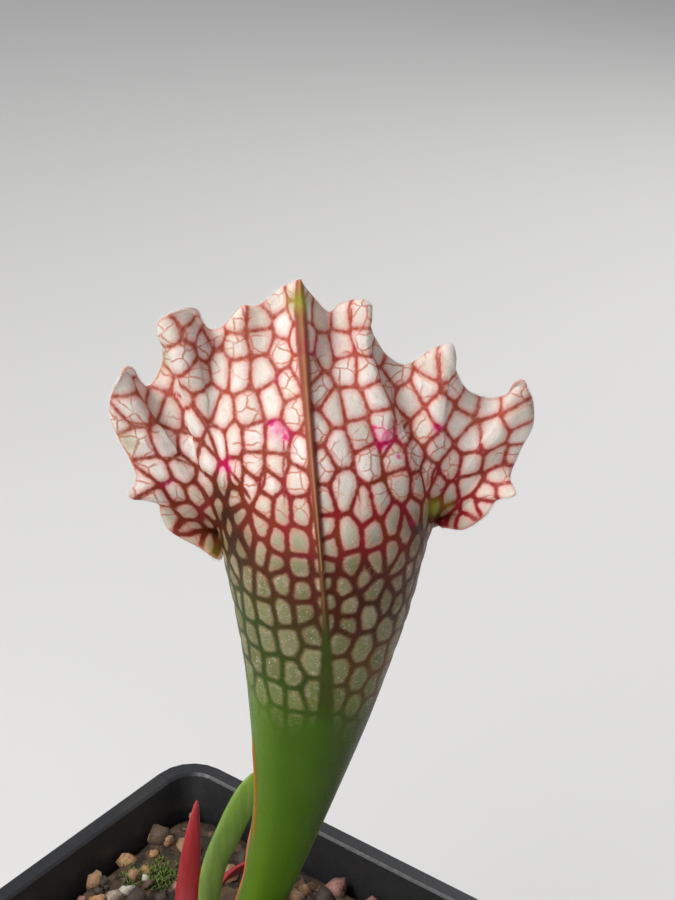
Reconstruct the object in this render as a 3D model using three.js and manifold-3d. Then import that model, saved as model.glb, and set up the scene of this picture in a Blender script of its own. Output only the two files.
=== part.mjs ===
// A white-topped trumpet pitcher plant in a square nursery pot, standing on its underside.
// Units are millimetres, +Z is up, the pot's sides run along X and Y and the origin is the
// middle of the pot's underside. The leaves are laid out in a frame of their own (right, away
// and up, as seen from behind the pitcher's hood), which is turned about Z and moved at the end.
import * as THREE from 'three';
import { mergeVertices } from 'three/addons/utils/BufferGeometryUtils.js';
import Module from 'manifold-3d';

const wasm = await Module();
wasm.setup();

// ---------------------------------------------------------------- driving dimensions (mm)
const POT = {
  rimHalf: 40, height: 75, wall: 1.2, floor: 1.4,
  bodyHalfTop: 38.2, bodyHalfFoot: 30, cornerTop: 7, cornerFoot: 5,
  rimPlate: 1.4, rimDrop: 8, rimWall: 1.2, foot: 0.8, edge: 0.5,
  drain: 4.2, drainAt: 17.5,
};
const MIX = {
  gap: 0.3, surface: 66.4, swell: 0.8, corner: 4.2, rings: 8,
  chips: 66, chipSmall: 1.5, chipLarge: 2.8, seed: 31,
};
const TURN = 38;               // the hood's right-hand direction, turned this far from +X
const CROWN = [-2.6, 0];       // the crown's place beside the pot's middle, in the leaf frame
const FIT = 0.3;               // clear space round every stem and root in the mix

// The pitcher's tube, station by station: middle (right, away, up), half width across, half
// depth, and how far the midrib has swung to the right of straight back (degrees).
const TUBE = [
  { at: [0.0, 0.0, 57.2], across: 2.1, deep: 2.1, swing: 30 },
  { at: [1.2, -1.6, 66.0], across: 2.0, deep: 2.1, swing: 30 },
  { at: [5.1, -6.6, 83.0], across: 2.2, deep: 2.6, swing: 29 },
  { at: [10.2, -11.2, 101.0], across: 2.6, deep: 3.2, swing: 26 },
  { at: [14.5, -13.8, 120.0], across: 4.6, deep: 5.2, swing: 19 },
  { at: [17.2, -14.4, 137.0], across: 7.7, deep: 7.9, swing: 11 },
  { at: [18.4, -13.4, 149.0], across: 10.1, deep: 9.6, swing: 4 },
  { at: [18.7, -12.0, 157.5], across: 11.7, deep: 10.8, swing: 0 },
];
const HOLLOW_FROM = 3.35;      // the station above which the tube is hollow

// The hood's margin. Each row is a place on it: the angle round the tube's mouth that the
// leaf's veins bring there (0 is the back, + to the right), then how far right of, up from and
// behind the neck it stands in the hood's own leaning plane, and how long a strip curls there
// and by how many degrees (+ away from the viewer behind the hood).
const HOOD = {
  neck: [18.9, -22.3, 158.5],
  lean: 22,
};
const MARGIN = [
  { name: 'apex', u: 0, right: -2.6, up: 31.6, back: 0.7, curl: 1.0, turn: 40 },
  { name: 'apex, right', u: 7, right: -1.7, up: 30.4, back: -1.6, curl: 0.6, turn: 20 },
  { name: 'first notch', u: 24, right: 0.3, up: 28.2, back: -3.0, curl: 0.4, turn: 10 },
  { name: 'first lobe, rise', u: 40, right: 1.6, up: 29.0, back: -1.2, curl: 1.0, turn: 60 },
  { name: 'first lobe, top', u: 48, right: 3.4, up: 29.4, back: 0.4, curl: 2.2, turn: 130 },
  { name: 'first lobe, shoulder', u: 54, right: 4.8, up: 28.7, back: 0.8, curl: 2.2, turn: 130 },
  { name: 'first lobe, side', u: 57, right: 5.0, up: 27.1, back: 0.2, curl: 1.4, turn: 100 },
  { name: 'first lobe, foot', u: 60, right: 5.7, up: 25.2, back: -1.8, curl: 0.8, turn: 60 },
  { name: 'second notch, top', u: 63, right: 6.8, up: 23.4, back: -3.0, curl: 0.6, turn: 30 },
  { name: 'second notch', u: 67, right: 8.9, up: 22.4, back: -3.2, curl: 0.4, turn: 10 },
  { name: 'second lobe, rise', u: 71, right: 11.1, up: 23.8, back: -1.0, curl: 1.0, turn: 50 },
  { name: 'second lobe, top', u: 74, right: 12.8, up: 24.6, back: 0.6, curl: 2.2, turn: 130 },
  { name: 'second lobe, shoulder', u: 77, right: 14.0, up: 23.8, back: 0.6, curl: 2.4, turn: 140 },
  { name: 'second lobe, side', u: 79, right: 14.3, up: 21.9, back: -0.8, curl: 1.4, turn: 100 },
  { name: 'third notch, top', u: 81, right: 15.7, up: 19.5, back: -3.0, curl: 0.8, turn: 50 },
  { name: 'third notch', u: 84, right: 18.1, up: 18.7, back: -3.6, curl: 0.4, turn: 10 },
  { name: 'third lobe, rise', u: 87, right: 20.0, up: 19.3, back: -2.2, curl: 0.6, turn: -30 },
  { name: 'third lobe, tip', u: 89.5, right: 21.2, up: 20.6, back: -0.6, curl: 0.9, turn: -90 },
  { name: 'third lobe, right', u: 92, right: 22.5, up: 18.5, back: -1.4, curl: 1.4, turn: 70 },
  { name: 'third lobe, side', u: 94, right: 22.8, up: 15.6, back: -3.2, curl: 1.8, turn: 110 },
  { name: 'third lobe, low', u: 96, right: 21.5, up: 12.5, back: -5.0, curl: 1.2, turn: 90 },
  { name: 'right cheek, heel', u: 98, right: 20.5, up: 10.0, back: -5.4, curl: 0.6, turn: 40 },
  { name: 'right cheek, hook', u: 99.5, right: 20.7, up: 8.0, back: -4.4, curl: 0.4, turn: 0 },
  { name: 'right cheek, bay', u: 101, right: 19.0, up: 7.2, back: -5.2, curl: 0.5, turn: 10 },
  { name: 'right flap, side', u: 103, right: 17.7, up: 5.4, back: -5.8, curl: 0.6, turn: 40 },
  { name: 'right flap, tip', u: 105, right: 15.5, up: 4.2, back: -6.4, curl: 1.0, turn: 80 },
  { name: 'right flap, under', u: 108, right: 13.9, up: 4.4, back: -7.6, curl: 1.2, turn: 110 },
  { name: 'right corner', u: 112, right: 12.6, up: 4.1, back: -9.0, curl: 1.0, turn: 40 },
  { name: 'lip, right end', u: 120, out: 1.0, rise: 1.6, curl: 1.8, turn: -110 },
  { name: 'lip, right', u: 138, out: 1.5, rise: 1.6, curl: 3.2, turn: -190 },
  { name: 'lip, front right', u: 158, out: 1.9, rise: 2.0, curl: 3.6, turn: -205 },
  { name: 'lip, spout', u: 180, out: 2.6, rise: 2.4, curl: 3.6, turn: -205 },
  { name: 'lip, front left', u: 202, out: 1.9, rise: 2.0, curl: 3.6, turn: -205 },
  { name: 'lip, left', u: 222, out: 1.5, rise: 1.6, curl: 3.2, turn: -190 },
  { name: 'lip, left end', u: 240, out: 1.0, rise: 1.6, curl: 1.8, turn: -110 },
  { name: 'left corner', u: 248, right: -13.6, up: 2.5, back: -9.0, curl: 1.0, turn: 40 },
  { name: 'left flap, under', u: 252, right: -15.4, up: 2.7, back: -7.2, curl: 1.2, turn: 110 },
  { name: 'left flap, tip', u: 255, right: -17.0, up: 3.7, back: -6.4, curl: 1.0, turn: 90 },
  { name: 'left flap, side', u: 257, right: -18.2, up: 5.3, back: -6.4, curl: 0.8, turn: 60 },
  { name: 'left cheek, bay', u: 259, right: -18.5, up: 6.7, back: -5.8, curl: 0.5, turn: 20 },
  { name: 'left cheek, inner hook', u: 260.5, right: -20.0, up: 7.4, back: -4.6, curl: 0.4, turn: 0 },
  { name: 'left cheek, hook', u: 262, right: -21.2, up: 7.9, back: -3.4, curl: 0.4, turn: 0 },
  { name: 'left cheek, heel', u: 263.5, right: -20.9, up: 10.0, back: -4.4, curl: 0.4, turn: 10 },
  { name: 'sixth lobe, low', u: 265, right: -21.6, up: 12.1, back: -4.2, curl: 0.4, turn: 20 },
  { name: 'sixth lobe, belly', u: 267, right: -22.5, up: 14.1, back: -3.4, curl: 0.6, turn: 30 },
  { name: 'sixth lobe, side', u: 270, right: -23.4, up: 17.2, back: -1.8, curl: 0.8, turn: 40 },
  { name: 'sixth lobe, shoulder', u: 273, right: -22.7, up: 20.4, back: -0.2, curl: 1.0, turn: -40 },
  { name: 'sixth lobe, tip', u: 276, right: -21.7, up: 21.9, back: -0.6, curl: 1.4, turn: -110 },
  { name: 'sixth lobe, fall', u: 279, right: -20.7, up: 20.9, back: -2.4, curl: 0.8, turn: -60 },
  { name: 'sixth notch', u: 282, right: -19.4, up: 20.0, back: -4.0, curl: 0.4, turn: 10 },
  { name: 'fifth lobe, heel', u: 284, right: -17.9, up: 22.3, back: -3.8, curl: 0.4, turn: 20 },
  { name: 'fifth lobe, foot', u: 286, right: -17.7, up: 24.4, back: -2.4, curl: 0.6, turn: 40 },
  { name: 'fifth lobe, side', u: 289, right: -18.1, up: 25.9, back: -0.4, curl: 0.8, turn: 60 },
  { name: 'fifth lobe, shoulder', u: 291, right: -17.6, up: 27.4, back: 0.9, curl: 0.8, turn: 30 },
  { name: 'fifth lobe, rise', u: 294, right: -16.1, up: 28.4, back: 0.9, curl: 1.0, turn: -60 },
  { name: 'fifth lobe, tip', u: 297, right: -14.6, up: 28.8, back: 0.2, curl: 1.2, turn: -110 },
  { name: 'fifth lobe, fall', u: 300, right: -13.7, up: 27.4, back: -1.6, curl: 0.8, turn: -60 },
  { name: 'fifth notch', u: 304, right: -12.6, up: 26.3, back: -3.2, curl: 0.4, turn: 10 },
  { name: 'fourth lobe, foot', u: 308, right: -11.2, up: 26.6, back: -2.2, curl: 0.4, turn: 20 },
  { name: 'fourth lobe, left', u: 313, right: -9.9, up: 27.9, back: -0.8, curl: 0.8, turn: 60 },
  { name: 'fourth lobe, right', u: 320, right: -8.7, up: 28.9, back: -0.6, curl: 0.8, turn: 60 },
  { name: 'shoulder of the apex', u: 330, right: -7.1, up: 29.0, back: -1.4, curl: 0.6, turn: 20 },
  { name: 'apex, left', u: 346, right: -4.6, up: 30.9, back: -1.6, curl: 0.6, turn: 20 },
];
const SHEET = {
  thick: 0.72, keel: 0.75, rib: 0.25, hoodRows: 9, curlRows: 3, longGap: 3.4,
  spread: 3, ease: 3, pull: 0.9,
};
const RIBS = ['first notch', 'second notch', 'third notch', 'fourth lobe, right', 'fifth notch',
  'sixth notch'];
const WING = {
  from: 1.7, to: 6.55, out: 4.6, low: 0.45, fullAt: 0.62, sweep: 18, thick: 0.8, stations: 22,
};

// The three smaller leaves: middle line (right, away, up), widest half width, half thickness.
const GREEN_LEAF = {
  line: [[0.9, 4.5, 57.5], [1.1, 4.7, 66], [1.4, 5.1, 78], [2.2, 6.2, 92.8], [5.3, 8.2, 98.4],
    [8.6, 10.2, 103.4], [11.8, 12.6, 105.6]],
  half: [1.2, 1.2, 1.3, 1.5, 1.9, 1.7, 0.55], deep: [1.2, 1.2, 1.1, 0.8, 0.6, 0.55, 0.45],
  face: [0.55, 0.1, -0.6],
};
const RED_SPIKE = {
  line: [[-3.8, 3.2, 57.6], [-3.3, 6.0, 66], [-2.1, 9.2, 75], [-1.0, 11.8, 84], [-0.1, 12.4, 92.5],
    [0.8, 12.4, 99.6]],
  half: [1.2, 1.2, 1.7, 2.4, 1.6, 0.5], deep: [1.2, 1.1, 0.8, 0.7, 0.6, 0.45],
  face: [1, 0, 0],
};
const RED_LOW = {
  line: [[4.0, 3.6, 57.6], [3.2, 8.6, 66.6], [0.8, 15.4, 73.4], [2.8, 21.8, 76.6], [8.2, 26.0, 76.8],
    [13.2, 28.6, 73.6]],
  half: [1.2, 1.2, 1.5, 2.1, 2.2, 0.6], deep: [1.2, 1.0, 0.7, 0.6, 0.5, 0.45],
  face: [0.5, -0.3, 0.8],
};

// The rhizome's crown and its old end, as beads along a line, and the roots that leave it.
const RHIZOME = {
  line: [[5.4, -0.4, 54.6], [2.6, 1.2, 55.4], [-0.6, 1.8, 55.6], [-4.2, 2.2, 55.0],
    [-8.6, 2.0, 53.2], [-13.0, 0.8, 51.0]],
  half: [1.6, 4.6, 5.6, 5.2, 3.9, 1.8],
};
const ROOTS = [
  [[3.2, 0.4, 53.5], [7, -2, 45], [9, -4, 34], [8, -9, 22]],
  [[-1.5, 0.2, 52.5], [-2, -7, 44], [-5, -12, 33], [-4, -15, 20]],
  [[-5, 2.5, 52.5], [-10, 6, 44], [-13, 11, 35], [-12, 14, 25]],
  [[0.5, 3.5, 53], [4, 9, 45], [5, 14, 36], [9, 16, 24]],
  [[-9, 1.8, 51.5], [-15, -2, 44], [-18, -4, 36], [-19, -6, 28]],
  [[-0.5, 2, 52], [-1, 3, 42], [1, 2, 30], [0, 3, 14]],
];
const ROOT = { thick: 0.95, tip: 0.5 };

// ---------------------------------------------------------------- small vector tools
const rad = (deg) => (deg * Math.PI) / 180;
const add = (a, b) => [a[0] + b[0], a[1] + b[1], a[2] + b[2]];
const sub = (a, b) => [a[0] - b[0], a[1] - b[1], a[2] - b[2]];
const mul = (a, k) => [a[0] * k, a[1] * k, a[2] * k];
const dot = (a, b) => a[0] * b[0] + a[1] * b[1] + a[2] * b[2];
const cross = (a, b) => [
  a[1] * b[2] - a[2] * b[1], a[2] * b[0] - a[0] * b[2], a[0] * b[1] - a[1] * b[0],
];
const size = (a) => Math.hypot(a[0], a[1], a[2]);
const unit = (a) => mul(a, 1 / Math.max(size(a), 1e-9));
const blend = (a, b, k) => add(mul(a, 1 - k), mul(b, k));

// A seeded random number from 0 to 1 (a small mixing generator).
function randomFrom(seed) {
  let state = seed >>> 0;
  return () => {
    state = (state + 0x6d2b79f5) >>> 0;
    let t = state;
    t = Math.imul(t ^ (t >>> 15), t | 1);
    t ^= t + Math.imul(t ^ (t >>> 7), t | 61);
    return ((t ^ (t >>> 14)) >>> 0) / 4294967296;
  };
}

// A smooth curve through rows of numbers, at place t (0 is the first row), open or closed.
function through(rows, t, closed = false) {
  const n = rows.length;
  const i = closed ? Math.floor(t) : Math.min(Math.max(Math.floor(t), 0), n - 2);
  const f = t - i;
  const pick = (k) => rows[((k % n) + n) % n];
  const b = pick(i);
  const c = pick(i + 1);
  let a = pick(i - 1);
  let d = pick(i + 2);
  if (!closed && i === 0) a = b.map((v, k) => 2 * v - c[k]);
  if (!closed && i === n - 2) d = c.map((v, k) => 2 * v - b[k]);
  return b.map((v, k) => 0.5 * (2 * v + (c[k] - a[k]) * f
    + (2 * a[k] - 5 * v + 4 * c[k] - d[k]) * f * f
    + (-a[k] + 3 * v - 3 * c[k] + d[k]) * f * f * f));
}

// From the leaves' frame to the part's frame.
function place(p) {
  const x = p[0] + CROWN[0];
  const y = p[1] + CROWN[1];
  const c = Math.cos(rad(TURN));
  const s = Math.sin(rad(TURN));
  return [x * c - y * s, x * s + y * c, p[2]];
}

// ---------------------------------------------------------------- solids from point grids
function solidOf(points, triangles) {
  const geometry = new THREE.BufferGeometry();
  geometry.setAttribute('position', new THREE.Float32BufferAttribute(points.flat(), 3));
  geometry.setIndex(triangles.flat());
  const merged = mergeVertices(geometry, 1e-4);
  return new wasm.Manifold(new wasm.Mesh({
    numProp: 3,
    vertProperties: new Float32Array(merged.attributes.position.array),
    triVerts: new Uint32Array(merged.index.array),
  }));
}

// The triangles of a solid's skins that face outwards: a pocket that fusing has closed off
// inside is filled by leaving its skin out.
function outerSkins(points, corners) {
  const parent = points.map((_, i) => i);
  const rootOf = (i) => {
    let at = i;
    while (parent[at] !== at) {
      parent[at] = parent[parent[at]];
      at = parent[at];
    }
    return at;
  };
  for (let i = 0; i < corners.length; i += 3) {
    parent[rootOf(corners[i])] = rootOf(corners[i + 1]);
    parent[rootOf(corners[i + 1])] = rootOf(corners[i + 2]);
  }
  const volume = new Map();
  for (let i = 0; i < corners.length; i += 3) {
    const [a, b, c] = [points[corners[i]], points[corners[i + 1]], points[corners[i + 2]]];
    const skin = rootOf(corners[i]);
    volume.set(skin, (volume.get(skin) || 0) + dot(a, cross(b, c)) / 6);
  }
  const largest = Math.max(...volume.values());
  return corners.filter((_, i) => volume.get(rootOf(corners[i - (i % 3)])) > largest * 0.01);
}

function nodeFrom(solid, name, colour, roughness) {
  const mesh = solid.getMesh();
  const corners = [];
  for (let i = 0; i < mesh.vertProperties.length; i += mesh.numProp) {
    corners.push([mesh.vertProperties[i], mesh.vertProperties[i + 1], mesh.vertProperties[i + 2]]);
  }
  const kept = outerSkins(corners, Array.from(mesh.triVerts));
  const points = corners.flat();
  const geometry = new THREE.BufferGeometry();
  geometry.setAttribute('position', new THREE.Float32BufferAttribute(points, 3));
  geometry.setIndex(kept);
  geometry.computeVertexNormals();
  const material = new THREE.MeshStandardMaterial({ color: colour, roughness, metalness: 0 });
  const node = new THREE.Mesh(geometry, material);
  node.name = name;
  return node;
}

// Triangles between closed rings of equal count, in order; each ring runs anticlockwise seen
// from the far end of the stack, so the faces look out.
function ringWalls(rings, count, first = 0) {
  const faces = [];
  for (let r = 0; r + 1 < rings; r += 1) {
    for (let k = 0; k < count; k += 1) {
      const a = first + r * count + k;
      const b = first + r * count + ((k + 1) % count);
      faces.push([a, b, b + count], [a, b + count, a + count]);
    }
  }
  return faces;
}

function capped(rings) {
  const count = rings[0].length;
  const points = rings.flat();
  const faces = ringWalls(rings.length, count);
  const centre = (ring) => mul(ring.reduce(add, [0, 0, 0]), 1 / count);
  points.push(centre(rings[0]), centre(rings[rings.length - 1]));
  const low = points.length - 2;
  const top = points.length - 1;
  const last = (rings.length - 1) * count;
  for (let k = 0; k < count; k += 1) {
    faces.push([low, (k + 1) % count, k]);
    faces.push([top, last + k, last + ((k + 1) % count)]);
  }
  return solidOf(points, faces);
}

// A bar along a line of points: an ellipse of half width and half depth at each station, laid
// with its width along the face direction. More is added all round by extra.
function bar(line, half, deep, face, stations, sides, extra = 0) {
  const rings = [];
  const last = line.length - 1;
  for (let i = 0; i < stations; i += 1) {
    const t = (last * i) / (stations - 1);
    const at = through(line, t);
    const along = unit(sub(through(line, Math.min(t + 0.01, last)), through(line, Math.max(t - 0.01, 0))));
    const w = through(half.map((v) => [v]), t)[0] + extra;
    const d = through(deep.map((v) => [v]), t)[0] + extra;
    const right = unit(sub(face, mul(along, dot(face, along))));
    const out = cross(along, right);
    const end = i === 0 ? mul(along, -extra) : i === stations - 1 ? mul(along, extra) : [0, 0, 0];
    const ring = [];
    for (let k = 0; k < sides; k += 1) {
      const a = (2 * Math.PI * k) / sides;
      ring.push(place(add(add(at, end), add(mul(right, w * Math.cos(a)), mul(out, d * Math.sin(a))))));
    }
    rings.push(ring);
  }
  return capped(rings);
}

// ---------------------------------------------------------------- the pitcher's own surface
const TUBE_ROWS = TUBE.map((s) => [...s.at, s.across, s.deep, s.swing]);
const MOUTH = TUBE.length - 1;

function tubeFrame(t) {
  const row = through(TUBE_ROWS, t);
  const ahead = through(TUBE_ROWS, Math.min(t + 0.002, MOUTH));
  const behind = through(TUBE_ROWS, Math.max(t - 0.002, 0));
  const along = unit(sub(ahead.slice(0, 3), behind.slice(0, 3)));
  const swing = rad(row[5]);
  const level = [Math.cos(swing), Math.sin(swing), 0];
  const right = unit(sub(level, mul(along, dot(level, along))));
  const back = cross(right, along);
  return { at: row.slice(0, 3), across: row[3], deep: row[4], right, back, along };
}

// A point of the tube's wall at angle u (0 is the midrib, at the back) and station t.
function tubeWall(u, t, extra = 0) {
  const f = tubeFrame(t);
  return add(f.at, add(mul(f.right, (f.across + extra) * Math.sin(u)),
    mul(f.back, (f.deep + extra) * Math.cos(u))));
}

function marginRows() {
  const lean = rad(HOOD.lean);
  const up = [0, Math.sin(lean), Math.cos(lean)];
  const back = [0, -Math.cos(lean), Math.sin(lean)];
  const f = tubeFrame(MOUTH);
  return MARGIN.map((m) => {
    let p;
    if (m.out === undefined) {
      p = add(HOOD.neck, add([m.right, 0, 0], add(mul(up, m.up), mul(back, m.back))));
    } else {
      p = add(tubeWall(rad(m.u), MOUTH, m.out), mul(f.along, m.rise));
    }
    return [...p, m.curl, m.turn];
  });
}

const EDGE = marginRows();
const ANGLES = [...MARGIN.map((m) => [m.u]), [360]];

// The margin with its lobes evened out: every place moved to a weighted mean of its
// neighbours, which is where the rays of the hood head for before the lobes part them.
function evenedEdge() {
  const n = EDGE.length;
  return EDGE.map((_, i) => {
    let sum = [0, 0, 0];
    let total = 0;
    for (let k = -7; k <= 7; k += 1) {
      const weight = Math.exp(-((k / SHEET.spread) ** 2));
      sum = add(sum, mul(EDGE[(i + k + n) % n].slice(0, 3), weight));
      total += weight;
    }
    return mul(sum, 1 / total);
  });
}

const EVENED = evenedEdge();

// Where the sheet's columns run: at every named place of the margin, between two that stand
// far apart, and close beside the midrib.
function columnPlaces() {
  const places = [];
  const n = EDGE.length;
  for (let i = 0; i < n; i += 1) {
    const step = size(sub(EDGE[i].slice(0, 3), EDGE[(i + 1) % n].slice(0, 3)));
    places.push(i);
    if (i === 0) places.push(0.35);
    if (step > SHEET.longGap || i === 0) places.push(i + 0.6);
    if (i === n - 1) places.push(i + 0.75);
  }
  return places;
}

// The ray of the sheet that leaves the mouth at one column: a cubic curve that starts along
// the tube's wall and heads for the evened margin, while the lobe's own shape grows in.
function ray(s) {
  const n = EDGE.length;
  const edge = through(EDGE, s, true);
  const calm = through(EVENED, s, true);
  const degrees = through(ANGLES, s)[0];
  const u = rad(degrees);
  const start = tubeWall(u, MOUTH);
  const rise = unit(sub(start, tubeWall(u, MOUTH - 0.05)));
  const end = edge.slice(0, 3);
  const reach = sub(calm, start);
  const far = size(reach);
  const p1 = add(start, mul(rise, Math.min(0.42 * far, 9)));
  const p2 = add(calm, mul(unit(reach), -0.3 * far));
  const along = unit(sub(through(EDGE, (s + 0.35) % n, true).slice(0, 3),
    through(EDGE, (s - 0.35 + n) % n, true).slice(0, 3)));
  const lean = rad(HOOD.lean);
  const square = unit(cross([0, -Math.cos(lean), Math.sin(lean)], along));
  const isLip = degrees > 108 && degrees < 252;
  const pull = isLip ? 0 : SHEET.pull * Math.min(Math.max(far / 16, 0), 1);
  return { u, start, p1, p2, calm, end, along, square, pull, curl: edge[3], turn: rad(edge[4]) };
}

function rayPoint(r, v) {
  const w = 1 - v;
  const early = add(mul(r.start, w * w * w), mul(r.p1, 3 * w * w * v));
  const late = add(mul(r.p2, 3 * w * v * v), mul(r.calm, v * v * v));
  const lobe = mul(sub(r.end, r.calm), v ** SHEET.ease);
  return add(add(early, late), sub(lobe, mul(r.square, r.pull * 17.65 * v ** 6 * w)));
}

// The curled strip: an arc that starts in the ray's end direction and turns about the margin.
function curlPoint(r, k) {
  const out = unit(sub(r.end, rayPoint(r, 0.97)));
  const side = unit(sub(r.along, mul(out, dot(r.along, out))));
  const away = cross(out, side);
  const turn = Math.abs(r.turn) < 0.02 ? 0.02 : r.turn;
  const radius = r.curl / turn;
  const a = turn * k;
  return add(r.end, add(mul(out, radius * Math.sin(a)), mul(away, radius * (1 - Math.cos(a)))));
}

// The whole leaf as a grid of points, rows from the stalk's foot to the curled margin, and the
// outward normal of each.
function sheetGrid() {
  const places = columnPlaces();
  const rays = places.map(ray);
  const rows = [];
  const inset = -SHEET.thick / 2;
  const tubeStops = [0, 0.6, 1.2, 1.8, 2.4, 2.9, HOLLOW_FROM, 3.9, 4.45, 5, 5.5, 6, 6.5];
  for (const t of tubeStops) rows.push(rays.map((r) => tubeWall(r.u, t, inset)));
  for (let i = 0; i <= SHEET.hoodRows; i += 1) {
    rows.push(rays.map((r) => rayPoint(r, i / SHEET.hoodRows)));
  }
  for (let i = 1; i <= SHEET.curlRows; i += 1) {
    rows.push(rays.map((r) => curlPoint(r, i / SHEET.curlRows)));
  }
  const n = places.length;
  const normals = rows.map((row, i) => row.map((_, j) => {
    const lower = rows[Math.max(i - 1, 0)][j];
    const upper = rows[Math.min(i + 1, rows.length - 1)][j];
    return unit(cross(sub(row[(j + 1) % n], row[(j - 1 + n) % n]), sub(upper, lower)));
  }));
  return { places, rows, normals, hollowRow: tubeStops.indexOf(HOLLOW_FROM) };
}

// How far a column stands proud of the sheet's back: the midrib's keel and the main ribs.
function ridge(place, row, grid) {
  const start = 1.5;
  const grown = Math.min(Math.max((row - start) / 4, 0), 1);
  const rowsLeft = grid.rows.length - 1 - row;
  const fade = Math.min(rowsLeft / 5, 1);
  if (place === 0) return SHEET.keel * grown * Math.min(rowsLeft / 3, 1);
  const name = Number.isInteger(place) ? MARGIN[place].name : '';
  return RIBS.includes(name) ? SHEET.rib * grown * fade : 0;
}

// The leaf's body: outer face, inner face above the hollow's floor, the margin's edge and the
// foot. The same diagonals split both faces.
function pitcherSheet() {
  const grid = sheetGrid();
  const n = grid.places.length;
  const half = SHEET.thick / 2;
  const outer = grid.rows.map((row, i) => row.map((p, j) => {
    const lift = half + ridge(grid.places[j], i, grid);
    return place(add(p, mul(grid.normals[i][j], lift)));
  }));
  const inner = grid.rows.slice(grid.hollowRow).map((row, i) => row.map((p, j) => (
    place(add(p, mul(grid.normals[i + grid.hollowRow][j], -half)))
  )));
  const points = [...outer.flat(), ...inner.flat()];
  const faces = ringWalls(outer.length, n);
  const firstInner = outer.length * n;
  for (const [a, b, c] of ringWalls(inner.length, n, firstInner)) faces.push([a, c, b]);
  const rim = (outer.length - 1) * n;
  const innerRim = firstInner + (inner.length - 1) * n;
  for (let k = 0; k < n; k += 1) {
    const next = (k + 1) % n;
    faces.push([rim + k, rim + next, innerRim + next], [rim + k, innerRim + next, innerRim + k]);
  }
  const middle = (ring) => mul(ring.reduce(add, [0, 0, 0]), 1 / ring.length);
  points.push(middle(outer[0]));
  const foot = points.length - 1;
  points.push(middle(inner[0]));
  const floor = points.length - 1;
  for (let k = 0; k < n; k += 1) {
    const next = (k + 1) % n;
    faces.push([foot, next, k]);
    faces.push([floor, firstInner + k, firstInner + next]);
  }
  return solidOf(points, faces);
}

// The wing down the pitcher's front: a thin blade that leaves the wall at the front, bends a
// little to the left and widens upwards.
function pitcherWing() {
  const rings = [];
  for (let i = 0; i < WING.stations; i += 1) {
    const k = i / (WING.stations - 1);
    const t = WING.from + (WING.to - WING.from) * k;
    const f = tubeFrame(t);
    const widening = WING.low + (1 - WING.low) * Math.min(1, k / WING.fullAt);
    const ends = Math.min(1, 4.5 * k + 0.12) * Math.min(1, 0.25 + 2.4 * (1 - k));
    const reach = WING.out * widening * ends;
    const front = mul(f.back, -1);
    const foot = tubeWall(Math.PI, t, -SHEET.thick * 0.8);
    const spots = [0, 0.36, 0.7, 1].map((q) => {
      const a = rad(WING.sweep) * q;
      const gone = reach * q + SHEET.thick * 0.5;
      const towards = add(mul(front, Math.cos(a * 0.5)), mul(f.right, -Math.sin(a * 0.5)));
      return { p: add(foot, mul(towards, q === 0 ? 0 : gone)), a };
    });
    const side = (s) => add(mul(f.right, Math.cos(s.a)), mul(front, Math.sin(s.a)));
    const thin = (q) => (WING.thick / 2) * (q === 3 ? 0.8 : 1);
    const left = spots.map((s, q) => add(s.p, mul(side(s), -thin(q))));
    const right = spots.map((s, q) => add(s.p, mul(side(s), thin(q))));
    rings.push([...left, ...right.reverse()].map(place));
  }
  return capped(rings);
}

// The stalk's outer skin with clear space added, which is taken out of the mix and the crown.
function stalkSpace(extra) {
  const rings = [];
  for (let i = 0; i <= 8; i += 1) {
    const t = (2.2 * i) / 8;
    const ring = [];
    for (let k = 0; k < 24; k += 1) ring.push(place(tubeWall((2 * Math.PI * k) / 24, t, extra + 0.05)));
    rings.push(ring);
  }
  const down = [0, 0, -extra];
  rings[0] = rings[0].map((p) => add(p, down));
  return capped(rings);
}

// ---------------------------------------------------------------- leaves, crown and roots
function smallLeaf(leaf, extra = 0, stations = 17, sides = 10) {
  return bar(leaf.line, leaf.half, leaf.deep, leaf.face, stations, sides, extra);
}

function rhizomeBody(extra = 0) {
  let body = bar(RHIZOME.line, RHIZOME.half, RHIZOME.half.map((v) => v * 0.86), [0, 1, 0], 10, 10, extra);
  for (const line of ROOTS) {
    const wide = line.map((_, i) => blend([ROOT.thick, 0, 0], [ROOT.tip, 0, 0], i / (line.length - 1))[0]);
    body = body.add(bar(line, wide, wide, [1, 0.1, 0], 6, 5, extra));
  }
  return body;
}

// ---------------------------------------------------------------- pot
// Points round a square with rounded corners, anticlockwise seen from above.
function roundedSquare(half, corner, z, steps = 5) {
  const ring = [];
  for (let q = 0; q < 4; q += 1) {
    const middle = rad(45 + 90 * q);
    const cx = Math.sign(Math.cos(middle)) * (half - corner);
    const cy = Math.sign(Math.sin(middle)) * (half - corner);
    for (let k = 0; k <= steps; k += 1) {
      const a = rad(90 * q + (90 * k) / steps);
      ring.push([cx + corner * Math.cos(a), cy + corner * Math.sin(a), z]);
    }
  }
  return ring;
}

// The pot's outer half width and corner radius at a height: the walls lean out evenly.
function bodyHalf(z) {
  return POT.bodyHalfFoot + (POT.bodyHalfTop - POT.bodyHalfFoot) * (z / POT.height);
}

function bodyCorner(z) {
  return POT.cornerFoot + (POT.cornerTop - 1.4 - POT.cornerFoot) * (z / POT.height);
}

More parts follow.
